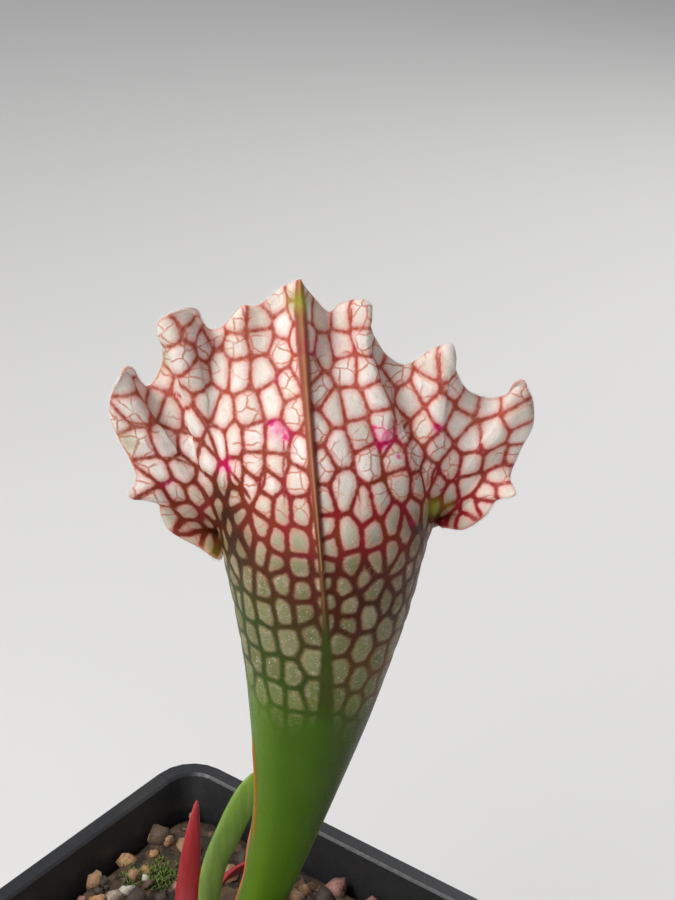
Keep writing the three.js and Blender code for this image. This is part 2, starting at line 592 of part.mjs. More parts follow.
function potBody() {
  const h = POT.height;
  const under = h - POT.rimPlate;
  const skirt = h - POT.rimDrop;
  const inside = (z) => bodyHalf(z) - POT.wall;
  const corner = (half) => Math.max(1.5, POT.cornerTop - (POT.rimHalf - half));
  const profile = [
    [0, bodyHalf(0) - POT.foot, bodyCorner(0) - POT.foot],
    [POT.foot, bodyHalf(POT.foot), bodyCorner(POT.foot)],
    [skirt * 0.5, bodyHalf(skirt * 0.5), bodyCorner(skirt * 0.5)],
    [under, bodyHalf(under), bodyCorner(under)],
    [under, POT.rimHalf - POT.rimWall, corner(POT.rimHalf - POT.rimWall)],
    [skirt, POT.rimHalf - POT.rimWall, corner(POT.rimHalf - POT.rimWall)],
    [skirt, POT.rimHalf - 0.2, corner(POT.rimHalf)],
    [h - POT.edge, POT.rimHalf, corner(POT.rimHalf)],
    [h, POT.rimHalf - POT.edge, corner(POT.rimHalf - POT.edge)],
    [h, inside(h) + 0.4, bodyCorner(h) - POT.wall + 0.4],
    [h - 0.4, inside(h - 0.4), bodyCorner(h - 0.4) - POT.wall],
    [skirt * 0.5, inside(skirt * 0.5), bodyCorner(skirt * 0.5) - POT.wall],
    [POT.floor, inside(POT.floor), bodyCorner(POT.floor) - POT.wall],
  ];
  return capped(profile.map(([z, half, round]) => roundedSquare(half, round, z)));
}

function drainHole(x, y) {
  const rings = [-1, POT.floor + 1].map((z) => {
    const ring = [];
    for (let k = 0; k < 16; k += 1) {
      const a = (2 * Math.PI * k) / 16;
      ring.push([x + POT.drain * Math.cos(a), y + POT.drain * Math.sin(a), z]);
    }
    return ring;
  });
  return capped(rings);
}

function nurseryPot() {
  let pot = potBody();
  const d = POT.drainAt;
  for (const [x, y] of [[d, d], [-d, d], [-d, -d], [d, -d], [0, 0]]) pot = pot.subtract(drainHole(x, y));
  return pot;
}

// ---------------------------------------------------------------- potting mix
// A lump with five sides round and a point up and down, every corner drawn in or out a little.
function grit(x, y, z, radius, draw) {
  const rings = [];
  for (const [level, wide] of [[-0.55, 0.75], [0.1, 1.0], [0.62, 0.62]]) {
    const ring = [];
    const start = draw() * 6.28;
    for (let k = 0; k < 5; k += 1) {
      const a = start * 0.15 + (2 * Math.PI * k) / 5;
      const r = radius * wide * (0.8 + 0.4 * draw());
      ring.push([x + r * Math.cos(a), y + r * Math.sin(a), z + radius * level * (0.8 + 0.3 * draw())]);
    }
    rings.push(ring);
  }
  return capped(rings);
}

function mixBody() {
  const top = MIX.surface;
  const half = (z) => bodyHalf(z) - POT.wall - MIX.gap;
  const floor = POT.floor + MIX.gap;
  const levels = [floor, top * 0.5, top - 1];
  const round = (z) => Math.max(bodyCorner(z) - POT.wall - MIX.gap, 1.2);
  let body = capped(levels.map((z) => roundedSquare(half(z), round(z), z)));
  const cap = [];
  const reach = half(top) - 0.1;
  for (let i = 0; i <= MIX.rings; i += 1) {
    const k = 1 - i / MIX.rings;
    const ring = roundedSquare(Math.max(reach * k, 0.4), Math.max(MIX.corner * k, 0.2), 0);
    cap.push(ring.map(([x, y]) => {
      const wave = Math.sin(x * 0.21 + 1.2) * Math.cos(y * 0.17 - 0.4) + 0.5 * Math.sin(x * 0.43 - y * 0.35);
      return [x, y, top + MIX.swell * wave * Math.min(1, (1 - k) * 3 + 0.2)];
    }));
  }
  const base = roundedSquare(half(top - 1.6) - 0.1, MIX.corner, top - 1.6);
  body = body.add(capped([base, ...cap]));
  const draw = randomFrom(MIX.seed);
  const edge = half(top);
  for (let i = 0; i < MIX.chips; i += 1) {
    const radius = MIX.chipSmall + (MIX.chipLarge - MIX.chipSmall) * draw() ** 1.6;
    const room = edge - radius * 1.25 - 0.3;
    const x = (draw() * 2 - 1) * room;
    const y = (draw() * 2 - 1) * room;
    const z = top + radius * (0.05 + 0.3 * draw());
    if (Math.hypot(Math.abs(x) - room, Math.abs(y) - room) < 2.5) continue;
    body = body.add(grit(x, y, z, radius, draw));
  }
  return body;
}

// ---------------------------------------------------------------- the part
const leafParts = [GREEN_LEAF, RED_SPIKE, RED_LOW];
const pitcher = pitcherSheet().add(pitcherWing());

let rhizome = rhizomeBody();
let mix = mixBody().subtract(rhizomeBody(FIT)).subtract(stalkSpace(FIT));
rhizome = rhizome.subtract(stalkSpace(FIT));
for (const leaf of leafParts) {
  const room = smallLeaf(leaf, FIT);
  rhizome = rhizome.subtract(room);
  mix = mix.subtract(room);
}

const group = new THREE.Group();
group.name = 'potted_pitcher_plant';
group.add(nodeFrom(nurseryPot(), 'nursery_pot', 0x17181a, 0.5));
group.add(nodeFrom(mix, 'potting_mix', 0x4a3626, 0.95));
group.add(nodeFrom(rhizome, 'rhizome', 0x6b4a2c, 0.85));
group.add(nodeFrom(pitcher, 'pitcher_leaf', 0xd9c9b4, 0.5));
group.add(nodeFrom(smallLeaf(GREEN_LEAF), 'green_leaf', 0x4f7a1c, 0.55));
group.add(nodeFrom(smallLeaf(RED_SPIKE), 'red_upright_leaf', 0x8e1622, 0.5));
group.add(nodeFrom(smallLeaf(RED_LOW), 'red_low_leaf', 0x9c1f2b, 0.5));

export default group;
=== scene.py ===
"""A white-topped trumpet pitcher plant in a square nursery pot: the visual model.

The leaves are worked out in millimetres in a frame of their own (right, away and up, as seen
from behind the pitcher's hood) and are turned and moved into the part's frame at the end.
"""

import math

import bmesh
import bpy
import numpy as np
from mathutils import Matrix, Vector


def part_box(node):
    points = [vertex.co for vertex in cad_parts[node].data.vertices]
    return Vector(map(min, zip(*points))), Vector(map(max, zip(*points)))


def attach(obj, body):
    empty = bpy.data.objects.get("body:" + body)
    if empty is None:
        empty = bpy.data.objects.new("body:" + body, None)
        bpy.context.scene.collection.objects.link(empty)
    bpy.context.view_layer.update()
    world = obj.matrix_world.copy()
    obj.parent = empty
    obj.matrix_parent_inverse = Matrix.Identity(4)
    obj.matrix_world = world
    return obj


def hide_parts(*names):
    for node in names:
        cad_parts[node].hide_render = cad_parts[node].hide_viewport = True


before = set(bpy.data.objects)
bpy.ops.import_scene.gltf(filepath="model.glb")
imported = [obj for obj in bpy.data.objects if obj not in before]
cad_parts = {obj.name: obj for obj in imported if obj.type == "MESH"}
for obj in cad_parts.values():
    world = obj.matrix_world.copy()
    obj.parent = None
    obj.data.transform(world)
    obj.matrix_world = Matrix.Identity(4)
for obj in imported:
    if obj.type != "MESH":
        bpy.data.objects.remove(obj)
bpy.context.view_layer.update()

bl_info = {
    "name": "Potted pitcher plant",
    "version": (1, 0, 0),
    "blender": (4, 5, 0),
    "location": "View3D > Sidebar > Pitcher plant",
    "description": "Builds a potted trumpet pitcher plant, its pot, its mix and a plain stage",
    "category": "Add Mesh",
}

MM = 0.001
TURN = math.radians(38.0)            # from the leaves' frame to the part's, about Z
CROWN = np.array([-2.6, 0.0, 0.0])   # where the crown stands, in mm, before that turn

# ---------------------------------------------------------------- the pitcher's sizes (mm)
# Tube stations: right, away, up, half width across, half depth, swing of the midrib (degrees).
TUBE = np.array([
    [0.0, 0.0, 57.2, 2.1, 2.1, 30],
    [1.2, -1.6, 66.0, 2.0, 2.1, 30],
    [5.1, -6.6, 83.0, 2.2, 2.6, 29],
    [10.2, -11.2, 101.0, 2.6, 3.2, 26],
    [14.5, -13.8, 120.0, 4.6, 5.2, 19],
    [17.2, -14.4, 137.0, 7.7, 7.9, 11],
    [18.4, -13.4, 149.0, 10.1, 9.6, 4],
    [18.7, -12.0, 157.5, 11.7, 10.8, 0],
])
STATIONS = np.arange(len(TUBE))
MOUTH = len(TUBE) - 1.0              # the station of the mouth
HOLLOW_FROM = 3.35                   # the station where the hollow begins
FOOT_HEIGHT = 57.2                   # the height of the stalk's foot
TUBE_HIGH = 100.3                    # from there to the mouth: one unit of rise
HOOD_HIGH = 31.0                     # from the mouth to the apex: the next unit of rise
NECK = np.array([18.9, -22.3, 158.5])   # the middle of the neck, where the hood's plane starts
LEAN = math.radians(22.0)            # the plane leans away by this
PLANE_UP = np.array([0.0, math.sin(LEAN), math.cos(LEAN)])
PLANE_BACK = np.array([0.0, -math.cos(LEAN), math.sin(LEAN)])

# The hood's margin, clockwise from the apex as seen from behind: the angle round the mouth,
# then right, up and back in the hood's leaning plane, the curled strip's length and its turn.
MARGIN_RIGHT = [
    (0, -2.6, 31.6, 0.7, 1.0, 40), (7, -1.7, 30.4, -1.6, 0.6, 20), (24, 0.3, 28.2, -3.0, 0.4, 10),
    (40, 1.6, 29.0, -1.2, 1.0, 60), (48, 3.4, 29.4, 0.4, 2.2, 130), (54, 4.8, 28.7, 0.8, 2.2, 130),
    (57, 5.0, 27.1, 0.2, 1.4, 100), (60, 5.7, 25.2, -1.8, 0.8, 60), (63, 6.8, 23.4, -3.0, 0.6, 30),
    (67, 8.9, 22.4, -3.2, 0.4, 10), (71, 11.1, 23.8, -1.0, 1.0, 50), (74, 12.8, 24.6, 0.6, 2.2, 130),
    (77, 14.0, 23.8, 0.6, 2.4, 140), (79, 14.3, 21.9, -0.8, 1.4, 100), (80.8, 15.7, 19.5, -3.0, 0.8, 50),
    (83.3, 18.1, 18.7, -3.6, 0.4, 10), (85.4, 20.0, 19.3, -2.2, 0.6, -30), (87.1, 21.2, 20.6, -0.6, 0.9, -90),
    (88.7, 22.5, 18.5, -1.4, 1.4, 70), (89.9, 22.8, 15.6, -3.2, 1.8, 110), (91.1, 21.5, 12.5, -5.0, 1.2, 90),
    (92.3, 20.5, 10.0, -5.4, 0.6, 40), (93.3, 20.7, 8.0, -4.4, 0.4, 0), (94.2, 19.0, 7.2, -5.2, 0.5, 10),
    (95.6, 17.7, 5.4, -5.8, 0.6, 40), (97, 15.5, 4.2, -6.4, 1.0, 80), (99.3, 13.9, 4.4, -7.6, 1.2, 110),
    (103, 12.6, 4.1, -9.0, 1.0, 40),
]
# The nectar lip: the angle, how far out of and above the mouth, and the strip's length and turn.
LIP = [
    (111, 1.0, 1.6, 1.8, -110), (130, 1.5, 1.6, 3.2, -190), (153, 1.9, 2.0, 3.6, -205),
    (180, 2.6, 2.4, 3.6, -205), (210, 1.9, 2.0, 3.6, -205), (236, 1.5, 1.6, 3.2, -190),
    (262, 1.0, 1.6, 1.8, -110),
]
MARGIN_LEFT = [
    (270, -11.7, 0.4, -7.2, 0.4, 20), (273.4, -14.3, 2.1, -7.0, 0.8, 90), (275.4, -17.0, 3.6, -6.4, 1.0, 90),
    (276.6, -18.2, 5.3, -6.4, 0.8, 60), (277.6, -18.5, 6.7, -5.8, 0.5, 20), (278.3, -20.0, 7.4, -4.6, 0.4, 0),
    (278.9, -21.2, 7.9, -3.4, 0.4, 0), (279.6, -20.9, 10.0, -4.4, 0.4, 10),
    (280.1, -21.6, 12.1, -4.2, 0.4, 20), (280.9, -22.5, 14.1, -3.4, 0.6, 30),
    (282, -23.4, 17.2, -1.8, 0.8, 40), (283.1, -22.7, 20.4, -0.2, 1.0, -40),
    (284.3, -21.7, 21.9, -0.6, 1.4, -110), (285.5, -20.7, 20.9, -2.4, 0.8, -60),
    (286.9, -19.4, 20.0, -4.0, 0.4, 10), (288, -17.9, 22.3, -3.8, 0.4, 20),
    (289.1, -17.7, 24.4, -2.4, 0.6, 40), (291, -18.1, 25.9, -0.4, 0.8, 60),
    (292.4, -17.6, 27.4, 0.9, 0.8, 30), (294.7, -16.1, 28.4, 0.9, 1.0, -60),
    (297.2, -14.6, 28.8, 0.2, 1.2, -110), (300, -13.7, 27.4, -1.6, 0.8, -60),
    (304, -12.6, 26.3, -3.2, 0.4, 10), (308, -11.2, 26.6, -2.2, 0.4, 20), (313, -9.9, 27.9, -0.8, 0.8, 60),
    (320, -8.7, 28.9, -0.6, 0.8, 60), (330, -7.1, 29.0, -1.4, 0.6, 20), (346, -4.6, 30.9, -1.6, 0.6, 20),
]
SPREAD = 3.0                         # places over which the lobes are evened out
EASE = 3.0                           # the power by which the lobes grow towards the margin
PULL = 0.9                           # how strongly the rays turn late, in mm
HANDLE_MOST = 9.0                    # how far a ray may follow the tube's wall, in mm
MOUTH_MIDDLE = 186.0                 # the angle halfway between the flaps' lower corners
EVEN = 10                            # columns to each side over which the late turn is evened
# Sharp tips on the margin: the place, how far each stands out in mm, and its width in places.
TIPS = [(17.1, 0.75, 0.3), (46.9, 0.6, 0.34), (41.0, 0.5, 0.45), (22.0, 0.5, 0.45)]
FRONT = len(MARGIN_RIGHT) + 3.0      # the margin's place at the front of the lip

# The hood's main veins in its leaning plane (right, up), from the margin towards the neck.
VEINS = [
    [(-8.5, 28.7), (-8.5, 26), (-8, 23.5), (-8, 21), (-7, 18.5), (-6.5, 16), (-6.5, 13), (-6.5, 10),
     (-7.5, 8), (-8, 5.5), (-8, 3.5), (-8, 0)],
    [(-23, 18.5), (-21.5, 16.5), (-19, 16), (-16, 15), (-14, 14.5), (-12.5, 13), (-11, 11.5), (-9.5, 10),
     (-8, 8)],
    [(-19.5, 20), (-17, 19.5), (-15, 18.5), (-13.5, 16.5), (-12.5, 14.5), (-11.8, 12.4)],
    [(3, 28.7), (3, 26), (3.5, 24), (3.5, 21), (4.5, 18.5), (5, 16), (6, 13), (6.5, 10), (8, 7), (8.5, 5.5),
     (8.5, 2), (8.5, 0)],
    [(12.5, 24), (12.5, 20), (11.5, 18.5), (9.5, 16.5), (8, 15), (6.2, 12.6)],
    [(22, 19), (19, 17), (16.5, 16), (15, 14.5), (13.5, 12.5), (12, 10.5), (11.8, 8.5), (11.4, 5)],
    [(-4.4, 14.5), (-4.4, 11), (-4.2, 7), (-4, 3), (-4, 0)],
    [(3.2, 12.5), (3.6, 9), (4, 5), (4.2, 0)],
    [(-20.5, 12), (-17.5, 12.2), (-14.5, 11), (-12, 9), (-10.5, 6.5), (-10.2, 4)],
    [(20.5, 11.5), (18, 10.5), (15, 9.6), (12.8, 8.2)],
]
WIDE_VEINS = 6                       # so many of them are wide, the rest narrower
VEIN_THIN = 0.11                     # half a wide vein at the margin, and what it gains to the neck
VEIN_GROWS = 0.08
PAIR_ROOM = 1.7                      # the least gap between two pairs of cells beside the veins
# Round spots in the same plane: right, up, size and strength.
BLUSHES = [
    (-4.9, 15.5, 1.6, 0.85), (-10.7, 11.5, 1.3, 0.8), (6.6, 14.8, 1.6, 0.8), (12.3, 15.8, 0.6, 0.9),
    (7.9, 12.6, 0.40, 1.1), (-19, 17.5, 0.8, 0.5), (-4.6, 21.3, 1.6, 0.35), (9.6, 5.2, 0.7, 0.5),
    (-5.7, 16.3, 0.5, 1.2), (-4.2, 14.9, 0.55, 1.2), (6.1, 13.9, 0.5, 1.3), (5.4, 15.9, 0.4, 1.1),
    (-10.4, 11.2, 0.6, 1.2), (-1.4, 24.6, 1.4, 0.45), (2.0, 24.8, 1.8, 0.4), (-17.6, 9.2, 0.9, 0.5),
]
LIMES = [
    (-2.7, 29.7, 1.2, 0.9), (-18.2, 23.4, 1.5, 0.6), (12.0, 6.4, 1.0, 1.0), (13.7, 6.6, 0.8, 0.6),
    (-21.8, 14.0, 1.2, 0.5), (-13.0, 0.8, 1.2, 0.45),
]
# Painted shade: dark spots at the throat, where the hood's flaps fold in towards the tube: right, up, size and
# strength.
THROAT_SHADOWS = [
    (-11.2, 8.2, 2.1, 0.9), (-10.8, 5.6, 2.4, 1.1), (-9.9, 3.2, 2.1, 1.1), (-9.3, 1.0, 1.5, 0.7),
    (-12.6, 1.0, 1.0, 0.7), (11.9, 5.4, 1.6, 1.1), (10.2, 4.6, 1.6, 1.0), (8.7, 5.0, 0.9, 0.5),
    (10.6, 2.8, 1.6, 0.9),
]

# The pitcher's grid.
RIGHT_COLUMNS = 380
LEFT_COLUMNS = 400
HOOD_ROWS = 149
CURL_ROWS = 12                       # of them on the curled strip
LOOSE_ROWS = 1.6                     # mm between the stalk's rows
DENSE_ROWS = 0.29                    # mm between rows where the net shows
DENSE_FROM = 118.0                   # the height above which it does
DENSE_TO = 157.3                     # the height where they end, just below the mouth
NECK_FROM = 150.0                    # the height above which the cells are scattered
SPOTS_FROM = 147.0                   # and that above which spots show
FRONT_SPAN = (103, 270)              # angles round the mouth: the tube's front, without the hood
LIP_SPAN = (107, 266)                # where the margin is the lip
NO_LATE_TURN = (100, 273)            # where the rays don't turn late
LATE = 17.65                         # this times q^6 (1 - q) peaks at 1, late on a ray
TRIES = 7000                         # how many places the scattered cells are drawn from
PITCHER_DRAW, MIX_DRAW, HAIR_DRAW = 57, 31, 8    # the random draws' seeds
HAIR_RADIUS = 0.024                  # in mm
RIB_AT = 273.0                       # the angle of the coloured rib on the tube's left side
BLUNT = 0.1                          # how much the net's middle lines are blunted, in mm

# The small leaves: the middle line, the half width and half depth along it, the direction of its
# width and the depth of its crease.
LEAVES = {
    "green_leaf": dict(
        line=[(0.9, 4.5, 57.5), (1.3, 4.7, 66), (2.0, 5.1, 78), (2.9, 6.2, 91.0), (5.6, 8.2, 97.9),
              (8.6, 10.2, 103.4), (11.8, 12.6, 105.6)],
        half=[1.2, 1.2, 1.3, 1.7, 2.0, 1.8, 0.35], deep=[1.2, 1.2, 1.1, 0.8, 0.6, 0.55, 0.3],
        face=(0.55, 0.1, -0.6), crease=0.35),
    "red_upright_leaf": dict(
        line=[(-3.8, 3.2, 57.6), (-3.3, 6.0, 66), (-2.1, 9.2, 75), (-1.0, 11.8, 84), (-0.1, 12.4, 92.5),
              (0.8, 12.4, 99.6)],
        half=[1.2, 1.2, 1.4, 1.7, 1.15, 0.25], deep=[1.2, 1.1, 0.8, 0.7, 0.6, 0.3],
        face=(1, 0, 0), crease=0.35),
    "red_low_leaf": dict(
        line=[(4.0, 3.6, 57.6), (3.2, 8.6, 66.6), (0.8, 15.4, 73.4), (2.8, 21.8, 76.6), (8.2, 26.0, 76.8),
              (13.2, 28.6, 73.6)],
        half=[1.2, 1.2, 1.5, 2.1, 2.2, 0.35], deep=[1.2, 1.0, 0.7, 0.6, 0.5, 0.3], face=(0.5, -0.3, 0.8),
        crease=0.3),
}

# The wing down the front: its first and last station, its width and how far it turns aside.
WING_STATIONS = (1.7, 6.55)
WING_WIDE = 4.6
WING_TURN = math.radians(18.0)

# The mix, in mm along the pot's sides.
WALL_SLOPE = 2.2                     # how much higher the mix stands at the pot's walls
LUMPS = 700
LUMP_RANGES = ((-37, 37), (-37, 37), (0.7, 2.2), (-0.55, 0.6))    # right, along, size, height
PEAT_GRID = 190                      # points along each side of its surface
PEAT_CORNER = 4.2                    # the radius of its corners
MOSS_RADIUS = 0.16
# Grains in known places: right along X, along Y, radius, and the number that picks the colour.
GRAINS = [(-33.9, 26.0, 2.1, 0.05), (-34.0, 19.4, 2.2, 0.05), (-30.1, 13.9, 1.8, 0.95), (-34.0, 11.5, 1.9, 0.5),
          (-4.2, 33.9, 1.9, 0.7), (2.4, 34.0, 2.0, 0.7), (-29.5, 27.5, 1.6, 0.5), (-24.5, 28.5, 1.3, 0.05),
          (9.5, 33.5, 1.6, 0.5), (-31.0, 9.0, 1.5, 0.05)]
# Cushions of moss: right along X, along Y, size.
MOSS = [(-28.2, 20.0, 3.4), (-30.6, 17.0, 2.2), (-25.0, 22.6, 2.4), (15.0, -20.0, 4.5), (-12.0, -26.0, 3.5)]
GRIT_COLOURS = [(0.0, (0.46, 0.25, 0.11)), (0.14, (0.045, 0.028, 0.018)), (0.45, (0.36, 0.20, 0.10)),
                (0.6, (0.42, 0.33, 0.25)), (0.68, (0.36, 0.17, 0.14)), (0.76, (0.10, 0.06, 0.035)),
                (0.9, (0.55, 0.50, 0.42))]

# The camera's place and direction, and how far ahead the middle of the plant lies, in metres.
EYE = np.array([0.1422, -0.15325, 0.2747])
LOOK = np.array([-0.5411, 0.6925, -0.4772])
AIM_FAR = 0.235
# Lamps: place to the right of, above and beyond what the camera aims at, size and power.
LIGHTS = [("key", (-0.42, 0.44, -0.42), 0.28, 5.2), ("fill", (-0.30, -0.16, -0.55), 0.6, 1.6),
          ("back", (0.30, 0.45, 0.30), 0.5, 1.5)]


# ---------------------------------------------------------------- number tools
def unit(v):
    """Each vector over its own length."""
    return v / np.maximum(np.linalg.norm(v, axis=-1, keepdims=True), 1e-9)


def ease(x, low, high):
    """0 below low, 1 above high, and 3k^2 - 2k^3 between."""
    k = np.clip((x - low) / (high - low), 0.0, 1.0)
    return k * k * (3.0 - 2.0 * k)


def hill(x, size):
    """1 at zero, falling to both sides: e to the power of minus the square of x over size."""
    return np.exp(-((x / size) ** 2))


def within(x, span):
    """Where x lies between the two ends of a span."""
    return (x > span[0]) & (x < span[1])


def through(rows, t, closed=False):
    """A smooth curve through rows at places t: each stretch is the cubic whose slope at a row is
    half the step between the rows on its two sides."""
    rows = np.asarray(rows, float)
    n = len(rows)
    t = np.asarray(t, float)
    if closed:
        i = np.floor(t).astype(int)
        a, b, c, d = (rows[(i + k) % n] for k in (-1, 0, 1, 2))
    else:
        i = np.clip(np.floor(t).astype(int), 0, n - 2)
        b, c = rows[i], rows[i + 1]
        a = np.where((i == 0)[:, None], 2 * b - c, rows[np.clip(i - 1, 0, n - 1)])
        d = np.where((i == n - 2)[:, None], 2 * c - b, rows[np.clip(i + 2, 0, n - 1)])
    f = (t - i)[:, None]
    return 0.5 * (2 * b + (c - a) * f + (2 * a - 5 * b + 4 * c - d) * f**2 + (-a + 3 * b - 3 * c + d) * f**3)


def turned(v):
    """Directions from the leaves' frame, turned about Z into the part's frame."""
    c, s = math.cos(TURN), math.sin(TURN)
    return np.asarray(v, float) @ np.array([[c, s, 0], [-s, c, 0], [0, 0, 1]])


def placed(p):
    """Points from the leaves' frame in mm to the part's frame in metres."""
    return turned(p + CROWN) * MM


def in_plane(p):
    """How far right of and up from the neck a point stands in the hood's leaning plane."""
    q = p - NECK
    return np.stack([q[..., 0], q @ PLANE_UP], -1)


# ---------------------------------------------------------------- the pitcher's surface
def tube_frames(t):
    """The tube at stations t: middle, half sizes, and the directions right, back and along."""
    row = through(TUBE, t)
    ahead, behind = (through(TUBE, np.clip(t + step, 0, MOUTH))[:, :3] for step in (0.002, -0.002))
    along = unit(ahead - behind)
    swing = np.radians(row[:, 5])
    right = np.stack([np.cos(swing), np.sin(swing), 0 * swing], 1)
    right = unit(right - (right * along).sum(1, keepdims=True) * along)
    return row[:, :3], row[:, 3], row[:, 4], right, np.cross(right, along), along


def tube_grid(u, t, extra=0.0):
    """The tube's wall: at station t an ellipse about the middle, its point at angle u being the
    half width times sin u to the right plus the half depth times cos u to the back."""
    at, across, deep, right, back, _ = tube_frames(np.atleast_1d(t))
    return (at[:, None] + ((across[:, None] + extra) * np.sin(u))[..., None] * right[:, None]
            + ((deep[:, None] + extra) * np.cos(u))[..., None] * back[:, None])


def margin_rows():
    """The margin's places as x, y, z, strip length and turn, and their angles round the mouth."""
    at, across, deep, right, back, along = (q[0] for q in tube_frames(np.array([MOUTH])))

    def on_hood(_, x, up, out, *strip):
        return [*(NECK + np.array([x, 0, 0]) + up * PLANE_UP + out * PLANE_BACK), *strip]

    def on_lip(degrees, out, up, *strip):
        a = math.radians(degrees)
        rim = at + (across + out) * math.sin(a) * right + (deep + out) * math.cos(a) * back
        return [*(rim + up * along), *strip]

    groups = ((on_hood, MARGIN_RIGHT), (on_lip, LIP), (on_hood, MARGIN_LEFT))
    rows = [make(*place) for make, group in groups for place in group]
    return np.array(rows), np.array([place[0] for _, group in groups for place in group] + [360.0])


def evened_edge(span=7):
    """The margin with its lobes evened out: each place is the mean of its neighbours, each
    weighed by e to the power of minus its squared distance along the margin."""
    near = range(-span, span + 1)
    weights = [math.exp(-((k / SPREAD) ** 2)) for k in near]
    return sum(w * np.roll(EDGE[:, :3], -k, axis=0) for k, w in zip(near, weights)) / sum(weights)


EDGE, ANGLES = margin_rows()
PLACES = len(EDGE)
EVENED = evened_edge()


def hood_grid(s, v, k):
    """The hood: from each place s round the margin a ray, a cubic curve that leaves the mouth
    along the tube's wall (v = 0) and heads for the evened margin, while the step to the real
    margin grows with a power of v; then a strip that turns about the margin by its own angle
    (k from 0 to 1). Gives the points, row by row, and the angle of each column."""
    edge, calm = (through(rows, s, closed=True) for rows in (EDGE, EVENED))
    degrees = through(ANGLES[:, None], s)[:, 0]
    u = np.radians(degrees)
    start = tube_grid(u, MOUTH)[0]
    rise = unit(start - tube_grid(u, MOUTH - 0.05)[0])
    end = edge[:, :3]
    reach = calm - start
    far = np.linalg.norm(reach, axis=1, keepdims=True)
    beside = np.abs(degrees - MOUTH_MIDDLE)[:, None]
    handle = 0.42 - 0.30 * (1 - ease(beside, 95, 140)) * ease(beside, 75, 81)
    first = start + rise * np.minimum(handle * far, HANDLE_MOST)
    second = calm - unit(reach) * 0.3 * far
    ahead, behind = (through(EDGE, (s + step) % PLACES, True)[:, :3] for step in (0.35, -0.35))
    run = unit(ahead - behind)
    # each ray turns late towards its own piece of margin, evened along the margin and less so
    # beside the midrib, so that neighbours don't cross
    is_back = ~within(degrees, NO_LATE_TURN)[:, None]
    turn_in = unit(np.cross(PLANE_BACK, run)) * PULL * np.clip(far / 16.0, 0, 1) * is_back
    turn_in = sum(np.roll(turn_in, j, axis=0) for j in range(-EVEN, EVEN + 1)) / (2 * EVEN + 1)
    turn_in = turn_in * (1 - hill(np.minimum(s, PLACES - s), 1.3))[:, None]

    def ray(q):
        w = 1.0 - q
        arc = w**3 * start + 3 * w**2 * q * first + 3 * w * q**2 * second + q**3 * calm
        return arc + (end - calm) * q**EASE - turn_in * LATE * q**6 * w

    # the curl bulges past the margin, so the margin moves in by that much, and out at its tips
    turn = np.radians(edge[:, 4])
    turn = np.where(np.abs(turn) < 0.02, 0.02, turn)
    radius = edge[:, 3] / turn
    bulge = np.abs(radius * np.sin(np.clip(turn, -1.57, 1.57))) * ~within(degrees, LIP_SPAN)
    for place, size, width in TIPS:
        bulge = bulge - size * hill(s - place, width)
    end = end - unit(end - ray(0.97)) * (0.85 * bulge)[:, None]

    out = unit(end - ray(0.97))
    away = np.cross(out, unit(run - (run * out).sum(1, keepdims=True) * out))
    a = turn * k[:, None]
    strip = end + out * (radius * np.sin(a))[..., None] + away * (radius * (1 - np.cos(a)))[..., None]
    return np.concatenate([ray(v[:, None, None]), strip]), u


def grid_normals(p):
    """The outward normal of each point of a closed grid: the step along the row crossed with the
    step up the column."""
    return unit(np.cross(np.roll(p, -1, axis=1) - np.roll(p, 1, axis=1), np.gradient(p, axis=0)))


# ---------------------------------------------------------------- the net of veins
def shortened(gap, way, stretch):
    """Steps with the part that runs along way divided by stretch, so that cells grow long
    that way."""
    part = (gap * way[:, None]).sum(2, keepdims=True) * (1 - 1 / stretch[:, None, None])
    return gap - part * way[:, None]


def cell_field(points, seeds, way, stretch, blunt, near=9):
    """The distance in mm from each point to the edge of its cell, the cell being all that is
    nearer to one seed than to the others, with its corners rounded: minus blunt times the log
    of the sum of e to the power of minus each edge's distance over blunt. Also the cell's number."""
    row = np.arange(len(points))
    gap = shortened(points[:, None] - seeds[None], way, stretch)
    d = np.einsum("ijk,ijk->ij", gap, gap)
    order = np.argpartition(d, near, axis=1)[:, :near]
    d = np.take_along_axis(d, order, 1)
    first = d.argmin(1)
    own = order[row, first]
    between = shortened(seeds[order] - seeds[own][:, None], way, stretch)
    apart = np.maximum(np.linalg.norm(between, axis=2), 1e-6)
    lean = (between * way[:, None]).sum(2) / apart
    real = np.sqrt(1 - lean**2 * (1 - 1 / stretch[:, None] ** 2))
    edge = (d - d[row, first][:, None]) / (2 * apart * real)
    edge[row, first] = 50.0
    return -blunt * np.log(np.exp(-edge / blunt).sum(1)), own


def local_fields(points, seeds, way, stretch, blunt=0.2, run=700, margin=6.0):
    """cell_field for many points, a run of them at a time, with only the seeds that stand near
    the run."""
    field = np.empty(len(points))
    cell = np.empty(len(points), int)
    for i in range(0, len(points), run):
        part = slice(i, i + run)
        low, high = points[part].min(0) - margin, points[part].max(0) + margin
        mine = np.flatnonzero(((seeds > low) & (seeds < high)).all(1))
        if len(mine) < 12:
            mine = np.arange(len(seeds))
        field[part], own = cell_field(points[part], seeds[mine], way[part], stretch[part], blunt)
        cell[part] = mine[own]
    return field, cell


def tube_seeds(draw, columns=22):
    """Middles of the tube's cells: columns at even angles, each with its own run of heights
    2.5 to 5 mm apart, both drawn a little to one side."""
    seeds = []
    for c in range(columns):
        z = 131.5 + 3.5 * draw.random()
        while z < 149.5 + 2.5 * draw.random():
            u = math.radians(360.0 * (c + 0.5 + 0.22 * (draw.random() - 0.5)) / columns)
            seeds.append(tube_grid(np.array([u]), np.interp(z, TUBE[:, 2], STATIONS))[0, 0])
            z += 2.5 + 2.5 * draw.random()
    return np.array(seeds)


